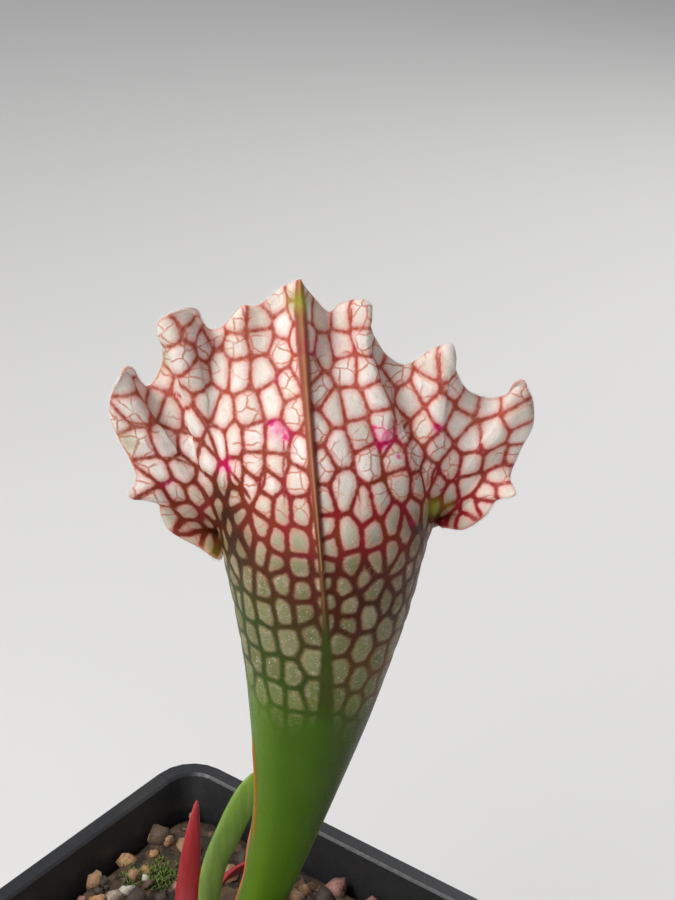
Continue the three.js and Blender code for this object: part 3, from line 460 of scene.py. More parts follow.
def vein_gaps(plane, chunk=4000):
    """How far each plane place is from the edge of the nearest main vein, in mm: the distance to
    the straight stretches of a smooth curve through the vein's places, less its half width,
    which grows from the margin to the neck. Places are taken as complex numbers."""
    best = np.full(len(plane), 99.0)
    for number, vein in enumerate(VEINS):
        t = np.linspace(0, len(vein) - 1, 7 * (len(vein) - 1) + 1)
        line = through(vein, t) @ [1, 1j]
        step = np.diff(line)
        for i in range(0, len(plane), chunk):
            gap = (plane[i:i + chunk] @ [1, 1j])[:, None] - line[:-1]
            f = np.clip((gap / step).real, 0, 1)
            d = np.abs(gap - f * step)
            j = d.argmin(1)
            row = np.arange(len(d))
            share = (t[j] + f[row, j] * t[1]) / t[-1]
            wide = (VEIN_THIN + VEIN_GROWS * share) * (1.0 if number < WIDE_VEINS else 0.7)
            best[i:i + chunk] = np.minimum(best[i:i + chunk], d[row, j] - wide)
    return best


def scattered(points, room, way, stretch, taken, draw, tries):
    """Points drawn in random order and kept where they stand further than their room from all
    that are kept, measured with steps along way divided by stretch, then moved twice towards the
    middle of what is nearest to them."""
    fixed = count = len(taken)
    kept = np.zeros((fixed + tries, 3))
    kept[:fixed] = taken
    for i in draw.permutation(len(points))[:tries]:
        gap = kept[:count] - points[i]
        far = (gap * gap).sum(1) - (gap @ way[i]) ** 2 * (1 - 1 / stretch[i] ** 2)
        if far.min() > room[i] ** 2:
            kept[count] = points[i]
            count += 1
    seeds = kept[:count]
    pick = draw.permutation(len(points))[:tries]
    for _ in range(2):
        _, own = local_fields(points[pick], seeds, way[pick], stretch[pick])
        total = np.zeros((count, 3))
        np.add.at(total, own, points[pick])
        share = np.bincount(own, minlength=count)
        move = (share > 0) & (np.arange(count) >= fixed)
        seeds[move] = 0.4 * seeds[move] + 0.6 * total[move] / share[move, None]
    return seeds


def vein_pairs(hood, plane, way, stretch, draw):
    """Middles of cells in pairs along the main veins, one on each side and equally far off in the
    stretched measure of cell_field, so that the border between the two is the vein itself. A pair
    too close to another is left out."""
    kept = np.zeros((0, 3))
    for vein in VEINS:
        line = through(vein, np.linspace(0, len(vein) - 1, 40 * len(vein)))
        run = np.concatenate([[0], np.cumsum(np.linalg.norm(np.diff(line, axis=0), axis=1))])
        at = 0.6 + draw.random()
        while at < run[-1] - 0.5:
            i = int(np.searchsorted(run, at))
            ahead = line[min(i + 8, len(line) - 1)] - line[max(i - 8, 0)]
            square = np.array([-ahead[1], ahead[0]]) / np.hypot(*ahead)
            j = ((plane - line[i]) ** 2).sum(1).argmin()
            run_way = np.array([way[j][0], way[j] @ PLANE_UP])
            run_way = run_way / max(np.hypot(*run_way), 1e-6)
            side = square + (stretch[j] ** 2 - 1) * (run_way @ square) * run_way
            side = side * draw.uniform(1.05, 1.45) / math.sqrt(side @ square)
            pair = [hood[((plane - q) ** 2).sum(1).argmin()] for q in (line[i] + side, line[i] - side)]
            pair = np.array(pair)
            if np.linalg.norm(pair[:, None] - kept, axis=2).min(initial=9.0) > PAIR_ROOM:
                kept = np.append(kept, pair, axis=0)
            at += draw.uniform(2.4, 4.0)
    return kept


# ---------------------------------------------------------------- meshes
def added(name, mesh, node, material):
    """Puts a mesh with its one material in the scene as a piece that takes a node's place."""
    mesh.materials.clear()
    mesh.materials.append(material)
    piece = bpy.data.objects.new(name, mesh)
    bpy.context.scene.collection.objects.link(piece)
    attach(piece, "root")
    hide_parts(node)
    return piece


def new_piece(name, points, faces, node, material, floats=None, normals=None):
    """A piece from points in metres and arrays of corner numbers (three to five to a row), with
    one value a point for each named attribute."""
    mesh = bpy.data.meshes.new(name)
    counts = np.concatenate([np.full(len(q), q.shape[1]) for q in faces])
    corners = np.concatenate([q.ravel() for q in faces])
    mesh.vertices.add(len(points))
    mesh.vertices.foreach_set("co", np.asarray(points, np.float32).ravel())
    mesh.loops.add(len(corners))
    mesh.loops.foreach_set("vertex_index", corners.astype(np.int32))
    mesh.polygons.add(len(counts))
    mesh.polygons.foreach_set("loop_start", np.concatenate([[0], np.cumsum(counts)[:-1]]).astype(np.int32))
    mesh.polygons.foreach_set("loop_total", counts.astype(np.int32))
    mesh.update(calc_edges=True)
    mesh.polygons.foreach_set("use_smooth", np.ones(len(counts), bool))
    for key, values in (floats or {}).items():
        layer = mesh.attributes.new(key, "FLOAT", "POINT")
        layer.data.foreach_set("value", np.asarray(values, np.float32).ravel())
    if normals is not None:
        mesh.normals_split_custom_set_from_vertices(np.asarray(normals, np.float32).tolist())
    return added(name, mesh, node, material)


def grid_faces(rows, columns, wrap, first=0, flip=False):
    """Four corners for each square of a grid of points numbered row by row."""
    i = np.arange(rows - 1)[:, None] * columns
    j = np.arange(columns if wrap else columns - 1)[None]
    n = (j + 1) % columns
    quads = np.stack([i + j, i + n, i + columns + n, i + columns + j], -1).reshape(-1, 4) + first
    return quads[:, ::-1] if flip else quads


def joined(low, high, wrap, flip=False):
    """Four corners for each square between two rows of point numbers."""
    if wrap:
        low, high = np.append(low, low[0]), np.append(high, high[0])
    quads = np.stack([low[:-1], low[1:], high[1:], high[:-1]], -1)
    return quads[:, ::-1] if flip else quads


def fan(middle, ring, flip=False):
    """Three corners for each side of a closed ring of point numbers about a middle point."""
    near, far = (ring, np.roll(ring, -1)) if flip else (np.roll(ring, -1), ring)
    return np.stack([np.full(len(ring), middle), near, far], 1)


def lofted(rings):
    """Points and faces of a closed solid through rings of equal count, each end closed by a fan
    about the ring's mean."""
    rows, columns = rings.shape[:2]
    points = np.concatenate([rings.reshape(-1, 3), rings[:1].mean(1), rings[-1:].mean(1)])
    low = np.arange(columns)
    high = (rows - 1) * columns + low
    return points, [grid_faces(rows, columns, True),
                    np.concatenate([fan(rows * columns, low), fan(rows * columns + 1, high, True)])]


# ---------------------------------------------------------------- materials
class Wiring:
    """A material's nodes, with a short call for each kind used here."""

    def __init__(self, name):
        self.material = bpy.data.materials.new(name)
        self.material.use_nodes = True
        self.tree = self.material.node_tree
        self.tree.nodes.clear()
        self.shader = self.tree.nodes.new("ShaderNodeBsdfPrincipled")
        output = self.tree.nodes.new("ShaderNodeOutputMaterial")
        self.tree.links.new(self.shader.outputs[0], output.inputs[0])
        self.coords = self.node("TexCoord", {}, "Object")

    def put(self, socket, value):
        """A link where the value is a socket, and the socket's own number or colour otherwise."""
        if isinstance(value, bpy.types.NodeSocket):
            self.tree.links.new(value, socket)
        else:
            socket.default_value = (*value, 1.0) if socket.type == "RGBA" else value

    def node(self, kind, inputs, out=0, **settings):
        """A new node with its settings, and its inputs by number or name. Gives one output."""
        node = self.tree.nodes.new("ShaderNode" + kind)
        for key, value in settings.items():
            setattr(node, key, value)
        for key, value in inputs.items():
            self.put(node.inputs[key], value)
        return node.outputs[out]

    def field(self, name):
        """A mesh attribute, by its name."""
        return self.node("Attribute", {}, "Fac", attribute_name=name)

    def math(self, operation, a, b):
        return self.node("Math", {0: a, 1: b}, operation=operation)

    def plus(self, a, b):
        return self.math("ADD", a, b)

    def times(self, a, b):
        return self.math("MULTIPLY", a, b)

    def smooth(self, value, low, high, first=0.0, last=1.0):
        """Runs from first to last by 3k^2 - 2k^3 as the value goes from low to high."""
        inputs = dict(enumerate((value, low, high, first, last)))
        return self.node("MapRange", inputs, interpolation_type="SMOOTHSTEP")

    def mix(self, factor, a, b):
        """Colour a where the factor is 0 and b where it is 1."""
        return self.node("Mix", {0: factor, 6: a, 7: b}, 2, data_type="RGBA")

    def layers(self, colour, *stack):
        """A colour with others laid over it in turn, each as far as its mask says."""
        for mask, over in stack:
            colour = self.mix(mask, colour, over)
        return colour

    def noise(self, scale, detail=3.0, rough=0.5, coords=None):
        """Soft noise from 0 to 1, its grain 1 metre over the scale."""
        inputs = {"Vector": coords or self.coords, "Scale": scale, "Detail": detail, "Roughness": rough}
        return self.node("TexNoise", inputs, "Fac")

    def swing(self, scale, amount, detail=3.0):
        """Noise about zero, up to half the amount to each side."""
        return self.times(self.math("SUBTRACT", self.noise(scale, detail), 0.5), amount)

    def hood_plane(self, scale, amount):
        """Places in the hood's plane, pushed about by soft noise by up to half the amount."""
        soft = self.node("TexNoise", {"Vector": self.coords, "Scale": scale}, "Color")
        place = self.node("VectorMath", {0: soft, 1: (amount,) * 3, 2: self.coords}, operation="MULTIPLY_ADD")
        axes = turned([[1.0, 0, 0], PLANE_UP]).tolist()
        both = [self.node("VectorMath", {0: place, 1: axis}, "Value", operation="DOT_PRODUCT") for axis in axes]
        return self.node("CombineXYZ", dict(enumerate(both)))

    def cells(self, scale, feature, out, coords=None):
        """Random cells, flat ones where places in a plane are given."""
        return self.node("TexVoronoi", {"Vector": coords or self.coords, "Scale": scale}, out,
                         voronoi_dimensions="2D" if coords else "3D", feature=feature)

    def bump(self, height, distance, strength, below=None):
        """Relief of a height field, over another relief where one is given."""
        inputs = {"Strength": strength, "Distance": distance, "Height": height}
        return self.node("Bump", {**inputs, "Normal": below} if below else inputs)

    def set(self, **sockets):
        """Fills the shader's sockets, an underscore standing for a space. Gives the material."""
        for name, value in sockets.items():
            self.put(self.shader.inputs[name.replace("_", " ")], value)
        return self.material

    def glow(self, weight, radius, scale=0.0008):
        """Light that goes a little way into the leaf."""
        return self.set(Subsurface_Weight=weight, Subsurface_Radius=radius, Subsurface_Scale=scale)


def pitcher_material(props):
    """The pitcher's skin, from the fields worked out with the surface: cream cells and crimson
    veins in the hood, greyer cells and brown veins at the neck, and green below."""
    w = Wiring("pitcher_skin")
    rise, side, cell, throat_shadow, spot = (w.field(name) for name in ("rise", "side", "cell", "throat_shadow", "blush"))
    grain = w.noise(5200.0, 2.0, 0.6)
    net = w.plus(w.field("net"), w.swing(1700.0, 0.30))
    vein = w.smooth(w.math("DIVIDE", net, w.smooth(rise, 0.88, 1.15, 0.28, 0.15)), -0.9, 1.0, 1.0, 0.0)

    # the cells: cream in the hood, pale and then dull at the neck, green low on the tube
    cream = w.layers(tuple(props.cream), (w.smooth(cell, 0.2, 0.9), (0.70, 0.62, 0.54)),
                     (w.smooth(w.noise(300.0, 2.0), 0.50, 0.74, 0.0, 0.6), (0.78, 0.55, 0.50)))
    pale = w.mix(cell, (0.26, 0.25, 0.14), (0.40, 0.38, 0.25))
    neck = w.mix(cell, (0.125, 0.135, 0.045), (0.20, 0.205, 0.09))
    low = w.mix(cell, (0.085, 0.125, 0.02), (0.145, 0.185, 0.05))
    drift = w.plus(rise, w.swing(130.0, 0.35, 2.0))
    area = w.layers(neck, (w.smooth(drift, 0.92, 1.12), pale), (w.smooth(drift, 1.05, 1.38), cream))
    halo = w.times(w.smooth(net, 0.0, 0.62, 1.0, 0.0), w.smooth(rise, 0.93, 1.12, 0.12, 0.60))
    split = w.cells(540.0, "DISTANCE_TO_EDGE", "Distance", w.hood_plane(600.0, 0.0011))
    thin = w.times(w.smooth(split, 0.025, 0.085, 1.0, 0.0), w.smooth(w.noise(150.0, 2.0), 0.43, 0.53))
    area = w.layers(
        w.mix(w.smooth(rise, 0.80, 0.93), low, area),
        # painted shade towards the right side, strongest on the tube and neck
        (w.times(w.smooth(side, 0.1, 0.9), w.smooth(rise, 1.0, 1.3, 0.4, 0.1)), (0.09, 0.06, 0.03)),
        (halo, (0.66, 0.22, 0.18)),
        (w.times(thin, w.smooth(rise, 1.0, 1.25, 0.0, 0.8)), (0.50, 0.15, 0.09)),
        (w.smooth(w.noise(1300.0, 3.0, 0.6), 0.50, 0.68, 0.0, 0.30), (0.46, 0.40, 0.33)),
        # painted glints: white specks where the grain noise is high
        (w.smooth(grain, 0.63, 0.73, 0.0, 0.5), (0.98, 0.97, 0.94)),
        (w.smooth(grain, 0.26, 0.40, 0.35, 0.0), (0.42, 0.34, 0.25)),
        # painted shade over the cells at the throat
        (w.times(throat_shadow, 0.75), (0.11, 0.09, 0.025)))

    # the veins: crimson and rust in the hood, brown at the neck, green on the tube
    rosy = w.math("SUBTRACT", w.noise(260.0, 2.0), w.times(side, 0.10))
    crimson = w.mix(w.smooth(rosy, 0.36, 0.58), tuple(props.vein), (0.20, 0.025, 0.010))
    brown = w.mix(w.smooth(w.noise(240.0, 2.0), 0.4, 0.65), (0.060, 0.009, 0.002), (0.038, 0.013, 0.001))
    brown = w.mix(w.smooth(rise, 0.84, 0.95), (0.12, 0.030, 0.003), brown)
    line = w.layers(brown, (w.smooth(rise, 0.94, 1.14), crimson),
                    (w.times(w.field("main"), 0.35), (0.22, 0.035, 0.012)),
                    (w.smooth(rise, 1.22, 1.62, 0.0, 0.75), (0.40, 0.070, 0.038)))
    turn_green = w.smooth(w.plus(rise, w.times(side, 0.12)), 0.80, 0.98)
    # green veins low on the tube, and painted shade over the veins at the throat
    line = w.layers((0.025, 0.048, 0.002), (turn_green, line), (w.times(throat_shadow, 0.95), (0.035, 0.009, 0.002)))

    # the green tube with painted light on its left and painted shade on its right, the midrib with a painted
    # shadow beside its crest, and what lies over all: blushes, spots, the margin's hem
    # painted shade towards the right side and painted light on the tube's left
    green = w.layers(tuple(props.green), (w.smooth(side, -0.2, 0.9), (0.032, 0.046, 0.002)),
                     (w.smooth(side, -0.98, -0.55, 0.7, 0.0), (0.095, 0.18, 0.008)),
                     (w.smooth(w.noise(90.0, 2.0), 0.4, 0.65, 0.0, 0.4), (0.058, 0.13, 0.003)))
    fade = w.plus(rise, w.swing(150.0, 0.14, 2.0))
    rib = w.layers((0.034, 0.060, 0.002), (w.smooth(rise, 0.92, 0.98), (0.085, 0.026, 0.005)),
                   (w.smooth(rise, 1.05, 1.4), (0.27, 0.072, 0.045)))
    patchy = w.plus(w.swing(1100.0, 1.1), w.times(vein, 0.3))
    blush = w.times(w.smooth(w.plus(spot, patchy), 0.25, 1.15, 0.0, 0.95), w.smooth(spot, 0.08, 0.3))
    deep = w.mix(w.smooth(spot, 0.6, 1.2), (0.80, 0.14, 0.34), (0.66, 0.02, 0.19))
    hem = w.times(w.smooth(w.field("edge"), 0.05, 0.4, 0.7, 0.0), w.smooth(w.noise(330.0, 2.0), 0.35, 0.6))
    skin = w.layers(
        green, (w.smooth(fade, 0.765, 0.875), w.mix(vein, area, line)),
        (w.times(w.field("stripe"), 0.9), (0.50, 0.11, 0.015)),
        (w.times(w.field("keel"), w.smooth(rise, 0.80, 0.90)), rib),
        (w.times(w.field("crest"), 0.75), (0.40, 0.20, 0.075)),
        # painted shadow right of the midrib's crest
        (w.times(w.field("crease"), 0.5), (0.09, 0.012, 0.010)),
        (w.times(w.field("lime"), 0.75), (0.26, 0.30, 0.02)),
        (blush, w.mix(vein, deep, (0.42, 0.002, 0.07))), (hem, (0.62, 0.24, 0.19)),
        (w.times(w.field("inside"), 0.35), (0.40, 0.31, 0.20)))

    relief = w.bump(w.noise(2600.0, 3.0, 0.6), 0.00006, 0.9)
    w.set(Base_Color=skin, Normal=w.bump(grain, 0.00003, 0.9, relief), Specular_IOR_Level=0.14,
          Roughness=w.smooth(grain, 0.35, 0.75, 0.52, 0.26))
    return w.glow(0.2, (1.0, 0.45, 0.25))


def leaf_material(name, base, tip, edge):
    """A small leaf: one colour at the base running to another at the tip, streaked lengthwise."""
    w = Wiring(name)
    streak = w.node("Mapping", {"Vector": w.coords, "Scale": (900.0, 900.0, 60.0)})
    lines = w.noise(1.0, 3.0, 0.6, streak)
    colour = w.layers(base, (w.smooth(w.field("along"), 0.0, 1.0), tip),
                      (w.smooth(lines, 0.35, 0.7, 0.0, 0.45), edge))
    w.set(Base_Color=colour, Roughness=0.42, Normal=w.bump(lines, 0.00015, 0.6))
    return w.glow(0.15, (1.0, 0.6, 0.3))


def wing_material():
    """The wing: green, with an orange edge."""
    w = Wiring("wing_green")
    streaks = w.noise(500.0, 3.0)
    colour = w.layers((0.10, 0.17, 0.02), (w.smooth(w.field("along"), 0.72, 1.0), (0.55, 0.11, 0.03)),
                      (w.smooth(streaks, 0.4, 0.7, 0.0, 0.4), (0.15, 0.09, 0.02)))
    return w.set(Base_Color=colour, Roughness=0.42, Normal=w.bump(streaks, 0.0001, 0.5))


def pot_material(props):
    """Black moulded plastic: satin, a little greyer where light rakes over its fine grain."""
    w = Wiring("pot_plastic")
    grain = w.noise(900.0, 4.0, 0.65)
    dust = w.smooth(w.noise(60.0, 4.0, 0.6), 0.5, 0.8, 0.0, 0.5)
    colour = w.mix(dust, tuple(props.plastic), (0.045, 0.042, 0.038))
    return w.set(Base_Color=colour, Roughness=w.smooth(grain, 0.3, 0.7, 0.34, 0.5),
                 Normal=w.bump(grain, 0.00006, 0.5))


def peat_material(props):
    """Damp dark peat with small tan crumbs."""
    w = Wiring("damp_peat")
    crumbs = w.node("RGBToBW", {0: w.cells(620.0, "F1", "Color")})
    colour = w.layers(tuple(props.peat), (w.smooth(crumbs, 0.25, 0.8), (0.09, 0.052, 0.026)),
                      (w.smooth(w.noise(1400.0, 3.0), 0.6, 0.75, 0.0, 0.6), (0.24, 0.15, 0.08)))
    relief = w.bump(w.noise(900.0, 5.0, 0.7), 0.0006, 0.9)
    return w.set(Base_Color=colour, Roughness=0.72, Normal=relief, Specular_IOR_Level=0.4)


def grit_material():
    """Grit in several colours, picked by each grain's own number."""
    w = Wiring("mixed_grit")
    ramp = w.tree.nodes.new("ShaderNodeValToRGB")
    ramp.color_ramp.interpolation = "CONSTANT"
    for _ in GRIT_COLOURS[2:]:
        ramp.color_ramp.elements.new(0.5)
    for element, (at, colour) in zip(ramp.color_ramp.elements, GRIT_COLOURS):
        element.position = at
        element.color = (*colour, 1.0)
    w.put(ramp.inputs[0], w.field("shade"))
    speck = w.noise(1500.0, 4.0, 0.7)
    colour = w.mix(w.smooth(speck, 0.35, 0.7, 0.0, 0.6), ramp.outputs[0], (0.05, 0.032, 0.02))
    return w.set(Base_Color=colour, Roughness=0.62, Normal=w.bump(speck, 0.0003, 0.8))


def moss_material():
    """Short moss: dark green with lighter tips."""
    w = Wiring("moss_green")
    return w.set(Base_Color=w.mix(w.field("along"), (0.03, 0.05, 0.008), (0.16, 0.24, 0.03)), Roughness=0.6)


def hair_material():
    """Fine white hairs that let some light through."""
    w = Wiring("white_hairs")
    w.set(Base_Color=(0.92, 0.86, 0.82), Roughness=0.35)
    return w.glow(0.3, (1.0, 0.8, 0.7), 0.0005)


def bark_material():
    """Rough brown rhizome and roots."""
    w = Wiring("rhizome_bark")
    patch = w.noise(260.0, 4.0, 0.6)
    colour = w.mix(w.smooth(patch, 0.35, 0.7), (0.10, 0.055, 0.028), (0.33, 0.20, 0.11))
    return w.set(Base_Color=colour, Roughness=0.75, Normal=w.bump(patch, 0.0006, 0.8))


# ---------------------------------------------------------------- the pitcher, worked out once
SKIN = {}


def even_places(first, last, count, samples=6001):
    """Places from first towards last, evenly spaced by the margin's length plus 0.8 of the
    mouth's, and closer beside the midrib."""
    s = np.linspace(first, last, samples)
    rim = through(EDGE, s, True)[:, :3]
    mouth = tube_grid(np.radians(through(ANGLES[:, None], np.minimum(s, PLACES))[:, 0]), MOUTH)[0]
    step, mouth_step = (np.linalg.norm(np.diff(p, axis=0), axis=1) for p in (rim, mouth))
    middle = 0.5 * (s[1:] + s[:-1])
    step = (step + 0.8 * mouth_step) * (1 + 1.2 * hill(np.minimum(middle, PLACES - middle), 0.8))
    run = np.concatenate([[0], np.cumsum(step)])
    return np.interp(np.linspace(0, run[-1], count + 1)[:-1], run, s)


def pitcher_skin(sizes):
    """The whole leaf as a grid, rows from the stalk's foot to the curled margin: outer and inner
    points with their normals, and the fields that colour them. Kept until a size changes."""
    made_with = (sizes.thick, sizes.keel)
    if SKIN.get("made_with") == made_with:
        return SKIN
    draw = np.random.default_rng(PITCHER_DRAW)
    s = np.concatenate([even_places(0.0, FRONT, RIGHT_COLUMNS), even_places(FRONT, PLACES, LEFT_COLUMNS)])
    rows_up = [np.arange(FOOT_HEIGHT, DENSE_FROM, LOOSE_ROWS), np.arange(DENSE_FROM, DENSE_TO, DENSE_ROWS)]
    t = np.interp(np.concatenate(rows_up), TUBE[:, 2], STATIONS)
    hood, u = hood_grid(s, np.linspace(0, 1, HOOD_ROWS), np.linspace(0, 1, CURL_ROWS + 1)[1:])
    u[0] = 0.0
    tube = tube_grid(u, t, -0.36 * (1 - ease(t, 5.2, 7.0))[:, None])
    middle = np.concatenate([tube, hood])
    rows, columns = middle.shape[:2]
    first = len(t)
    normal = grid_normals(middle)
    for _ in range(3):                   # the normals beside the midrib, made even
        level = sum(np.roll(normal, j, axis=1) for j in range(-7, 8)) / 15.0
        normal = unit(normal + (level - normal) * hill(np.minimum(s, PLACES - s), 1.2)[:, None])

    # runs along the rows to the midrib, and up the columns from the mouth and to the margin
    along = np.linalg.norm(np.roll(middle, -1, 1) - middle, axis=2)
    right_run = np.concatenate([np.zeros((rows, 1)), np.cumsum(along, 1)[:, :-1]], 1)
    left_run = along.sum(1, keepdims=True) - right_run
    plane, height = in_plane(middle), middle[..., 2]
    step = np.linalg.norm(np.diff(middle, axis=0), axis=2)
    from_mouth = np.zeros((rows, columns))
    from_mouth[first + 1:] = np.cumsum(step[first:], 0)
    to_margin = np.concatenate([np.cumsum(step[::-1], 0)[::-1], np.zeros((1, columns))])
    rise = np.minimum((height - FOOT_HEIGHT) / TUBE_HIGH, 1.0) + from_mouth / HOOD_HIGH
    up = np.where(np.arange(rows)[:, None] >= first, plane[..., 1], -5.0)
    back = ~within(np.degrees(u), FRONT_SPAN)
    on_back = np.zeros((rows, columns), bool)
    on_back[first:, back] = True

    # the middles of the cells
    level = np.interp(t, STATIONS, TUBE[:, 2])
    dense, neck_row = np.searchsorted(level, [DENSE_FROM, NECK_FROM])
    stretch = np.interp(up, [-5, 0, 6, 14, 24, 30], [1.4, 1.5, 1.5, 1.35, 1.2, 1.1])
    way = unit(np.gradient(middle, axis=0))
    taken = tube_seeds(draw)
    points, ways = middle[neck_row:].reshape(-1, 3), way[neck_row:].reshape(-1, 3)
    places, stretches = in_plane(points), stretch[neck_row:].ravel()
    seen = np.tile(back, rows - neck_row)
    pairs = vein_pairs(points[seen], places[seen], ways[seen], stretches[seen], draw)
    room = (1.90 + 0.80 * ease(places[:, 1], 3.0, 15.0)) * draw.uniform(0.70, 1.15, len(places))
    seeds = scattered(points, room, ways, stretches, np.append(taken, pairs, axis=0), draw, TRIES)

    def by_column(values):
        return values[dense:].swapaxes(0, 1).reshape(-1, *values.shape[2:])

    def to_grid(values, fill):
        grid = np.full((rows, columns), fill, float)
        grid[dense:] = values.reshape(columns, rows - dense).T
        return grid

    def spots(places):
        """The strongest of round spots at plane places, each fading with its squared distance."""
        value = np.zeros((rows, columns))
        for right_at, up_at, size, strong in places:
            gap = (plane[..., 0] - right_at) ** 2 + (plane[..., 1] - up_at) ** 2
            value = np.maximum(value, strong * np.exp(-gap / size**2))
        return value * (height > SPOTS_FROM) * back

    # the net: how far each point is from a vein's edge, by the cells and by the main veins
    field, cell = local_fields(by_column(middle), seeds, by_column(way), by_column(stretch), 0.16)
    field = to_grid(field, 1.0)
    cell = to_grid(draw.random(len(seeds) + 1)[cell], 0.5)
    main = np.full((rows, columns), 9.0)
    main[on_back] = vein_gaps(plane[on_back])
    facing = np.abs(normal @ PLANE_BACK)
    main = main / np.clip(facing, 0.35, 1.0) + 2.0 * (1 - ease(facing, 0.35, 0.75))
    main = main + 1.5 * (1 - ease(to_margin, 0.4, 1.6)) + 1.2 * (1 - ease(up, 3.5, 9.0))
    thick = np.interp(rise, [0.76, 0.86, 0.97, 1.06, 1.25, 1.5, 2.0],
                      [0.26, 0.36, 0.37, 0.33, 0.24, 0.19, 0.155])
    # painted shade at the throat, which also broadens the veins there
    throat_shadow = spots(THROAT_SHADOWS)
    net = np.minimum(np.hypot(field, BLUNT) - np.hypot(thick + 0.22 * throat_shadow, BLUNT), main)

    # the midrib: a fold that rises slowly from the left and drops at once on its right
    is_right = right_run < left_run
    wide = np.interp(rise, [0.3, 0.9, 1.3, 2.0], [1.2, 0.75, 0.85, 1.0])
    fold = np.where(is_right, 1 - ease(right_run, 0.03, 0.42), np.exp(-((left_run / wide) ** 1.7)))
    sharp = ease(rise, 0.88, 1.02)
    fold = hill(np.minimum(right_run, left_run), 1.8) * (1 - sharp) + fold * sharp
    fold = fold * sizes.keel * np.interp(rise, [0.1, 0.3, 0.85, 0.94, 1.05, 1.3, 1.9, 2.03],
                                         [0.2, 0.25, 0.3, 0.45, 0.75, 1.0, 0.9, 0.0])
    band = np.interp(rise, [0.78, 0.86, 0.93, 0.98, 1.2, 2.0], [1.2, 0.75, 0.38, 0.36, 0.48, 0.42])
    beside = np.where(is_right, right_run + np.interp(rise, [0.92, 1.0], [0.0, 0.25]), left_run)
    # painted shadow in the crease just right of the midrib's crest
    crease = ease(right_run, 0.12, 0.25) * (1 - ease(right_run, 0.32, 0.6)) * ease(rise, 0.98, 1.1)

    # the sheet's own relief: thin at the margin, swollen between veins, pleated at the main ones
    half = 0.5 * sizes.thick * (0.55 + 0.45 * ease(to_margin, 0.0, 3.0))
    swell = 0.11 * ease(np.minimum(field, main + 0.2), 0.0, 0.9) * ease(rise, 0.78, 0.92)
    swell = swell * (0.25 + 0.75 * ease(to_margin, 0.3, 2.0))
    pleat = 0.32 * (ease(np.clip(main, 0, 9), 0.0, 3.2) - 0.5) * ease(up, 3.0, 12.0) * ease(to_margin, 0.5, 5.0)
    pleat = pleat * on_back
    # a thin coloured rib down the tube's left side, its angle taken as a length in mm
    stripe = hill((np.degrees(u) - RIB_AT) * 0.14, 0.38)
    stripe = stripe * ease(height, 113.0, 118.0) * (1 - ease(height, 129.0, 134.0))
    outer = middle + normal * (half + swell + fold + pleat + 0.28 * stripe)[..., None]
    inner = middle - normal * (half - 0.3 * swell - pleat)[..., None]

    fields = {
        "net": np.minimum(net, beside - band), "main": ease(-main, -0.15, 0.05), "cell": cell, "rise": rise,
        "side": np.broadcast_to(np.sin(u), (rows, columns)), "crease": crease,
        "crest": hill(left_run - 0.10, 0.10) * ease(rise, 0.93, 0.99),
        "keel": ease((band - beside) / np.interp(rise, [0.88, 1.0], [0.5, 0.16]), -1.0, 0.8),
        "lime": spots(LIMES), "blush": spots(BLUSHES), "throat_shadow": throat_shadow, "edge": to_margin, "stripe": stripe,
    }
    rim = turned(unit(middle[-1] - middle[-3]))
    faces = [(outer, turned(grid_normals(outer))), (inner, -turned(grid_normals(inner)))]
    for _, normals in faces:
        normals[-1] = unit(normals[-1] + rim)
    SKIN.update(made_with=made_with, faces=faces, fields=fields, first=first, middle=middle, back=back, t=t)
    return SKIN


def skin_part(rows_out, rows_in, columns, wrap):
    """A closed piece of the leaf: the outer face over some rows and columns, the inner face over
    others, and the strip that joins them along the top."""
    n = len(columns)
    picks = [np.ix_(rows, columns) for rows in (rows_out, rows_in)]
    chosen = [[values[pick].reshape(-1, 3) for values in face] for face, pick in zip(SKIN["faces"], picks)]
    points, normals = (np.concatenate(pair) for pair in zip(*chosen))
    floats = {key: np.concatenate([value[pick].ravel() for pick in picks])
              for key, value in SKIN["fields"].items()}
    out_count = len(rows_out) * n
    floats["inside"] = np.repeat([0.0, 1.0], [out_count, len(rows_in) * n])
    faces = [grid_faces(len(rows_out), n, wrap), grid_faces(len(rows_in), n, wrap, out_count, True),
             joined(np.arange(out_count - n, out_count), np.arange(len(points) - n, len(points)), wrap)]
    return points, normals, floats, faces, out_count


# ---------------------------------------------------------------- sizes and colours
COLOUR = dict(size=3, subtype="COLOR", min=0, max=1)
LENGTH = dict(unit="LENGTH", precision=5)


class PitcherSizes(bpy.types.PropertyGroup):
    thick: bpy.props.FloatProperty(name="Thickness", description="Thickness of the leaf in mm",
                                   default=0.5, min=0.2, max=0.9)
    keel: bpy.props.FloatProperty(name="Keel", description="Height of the midrib over the leaf in mm",
                                  default=0.6, min=0.0, max=1.2)
    hairs: bpy.props.IntProperty(name="Hairs", description="How many hairs the margin carries",
                                 default=3600, min=0, max=8000)
    hair: bpy.props.FloatProperty(name="Hair length", description="Length of a margin hair in metres",
                                  default=0.00042, min=0.0, max=0.001, **LENGTH)
    cream: bpy.props.FloatVectorProperty(name="Window colour", description="Colour of the cells in the hood",
                                         default=(0.78, 0.71, 0.65), **COLOUR)
    vein: bpy.props.FloatVectorProperty(name="Vein colour", description="Colour of the veins in the hood",
                                        default=(0.25, 0.009, 0.018), **COLOUR)
    green: bpy.props.FloatVectorProperty(name="Tube colour", description="Colour of the lower tube",
                                         default=(0.042, 0.098, 0.001), **COLOUR)


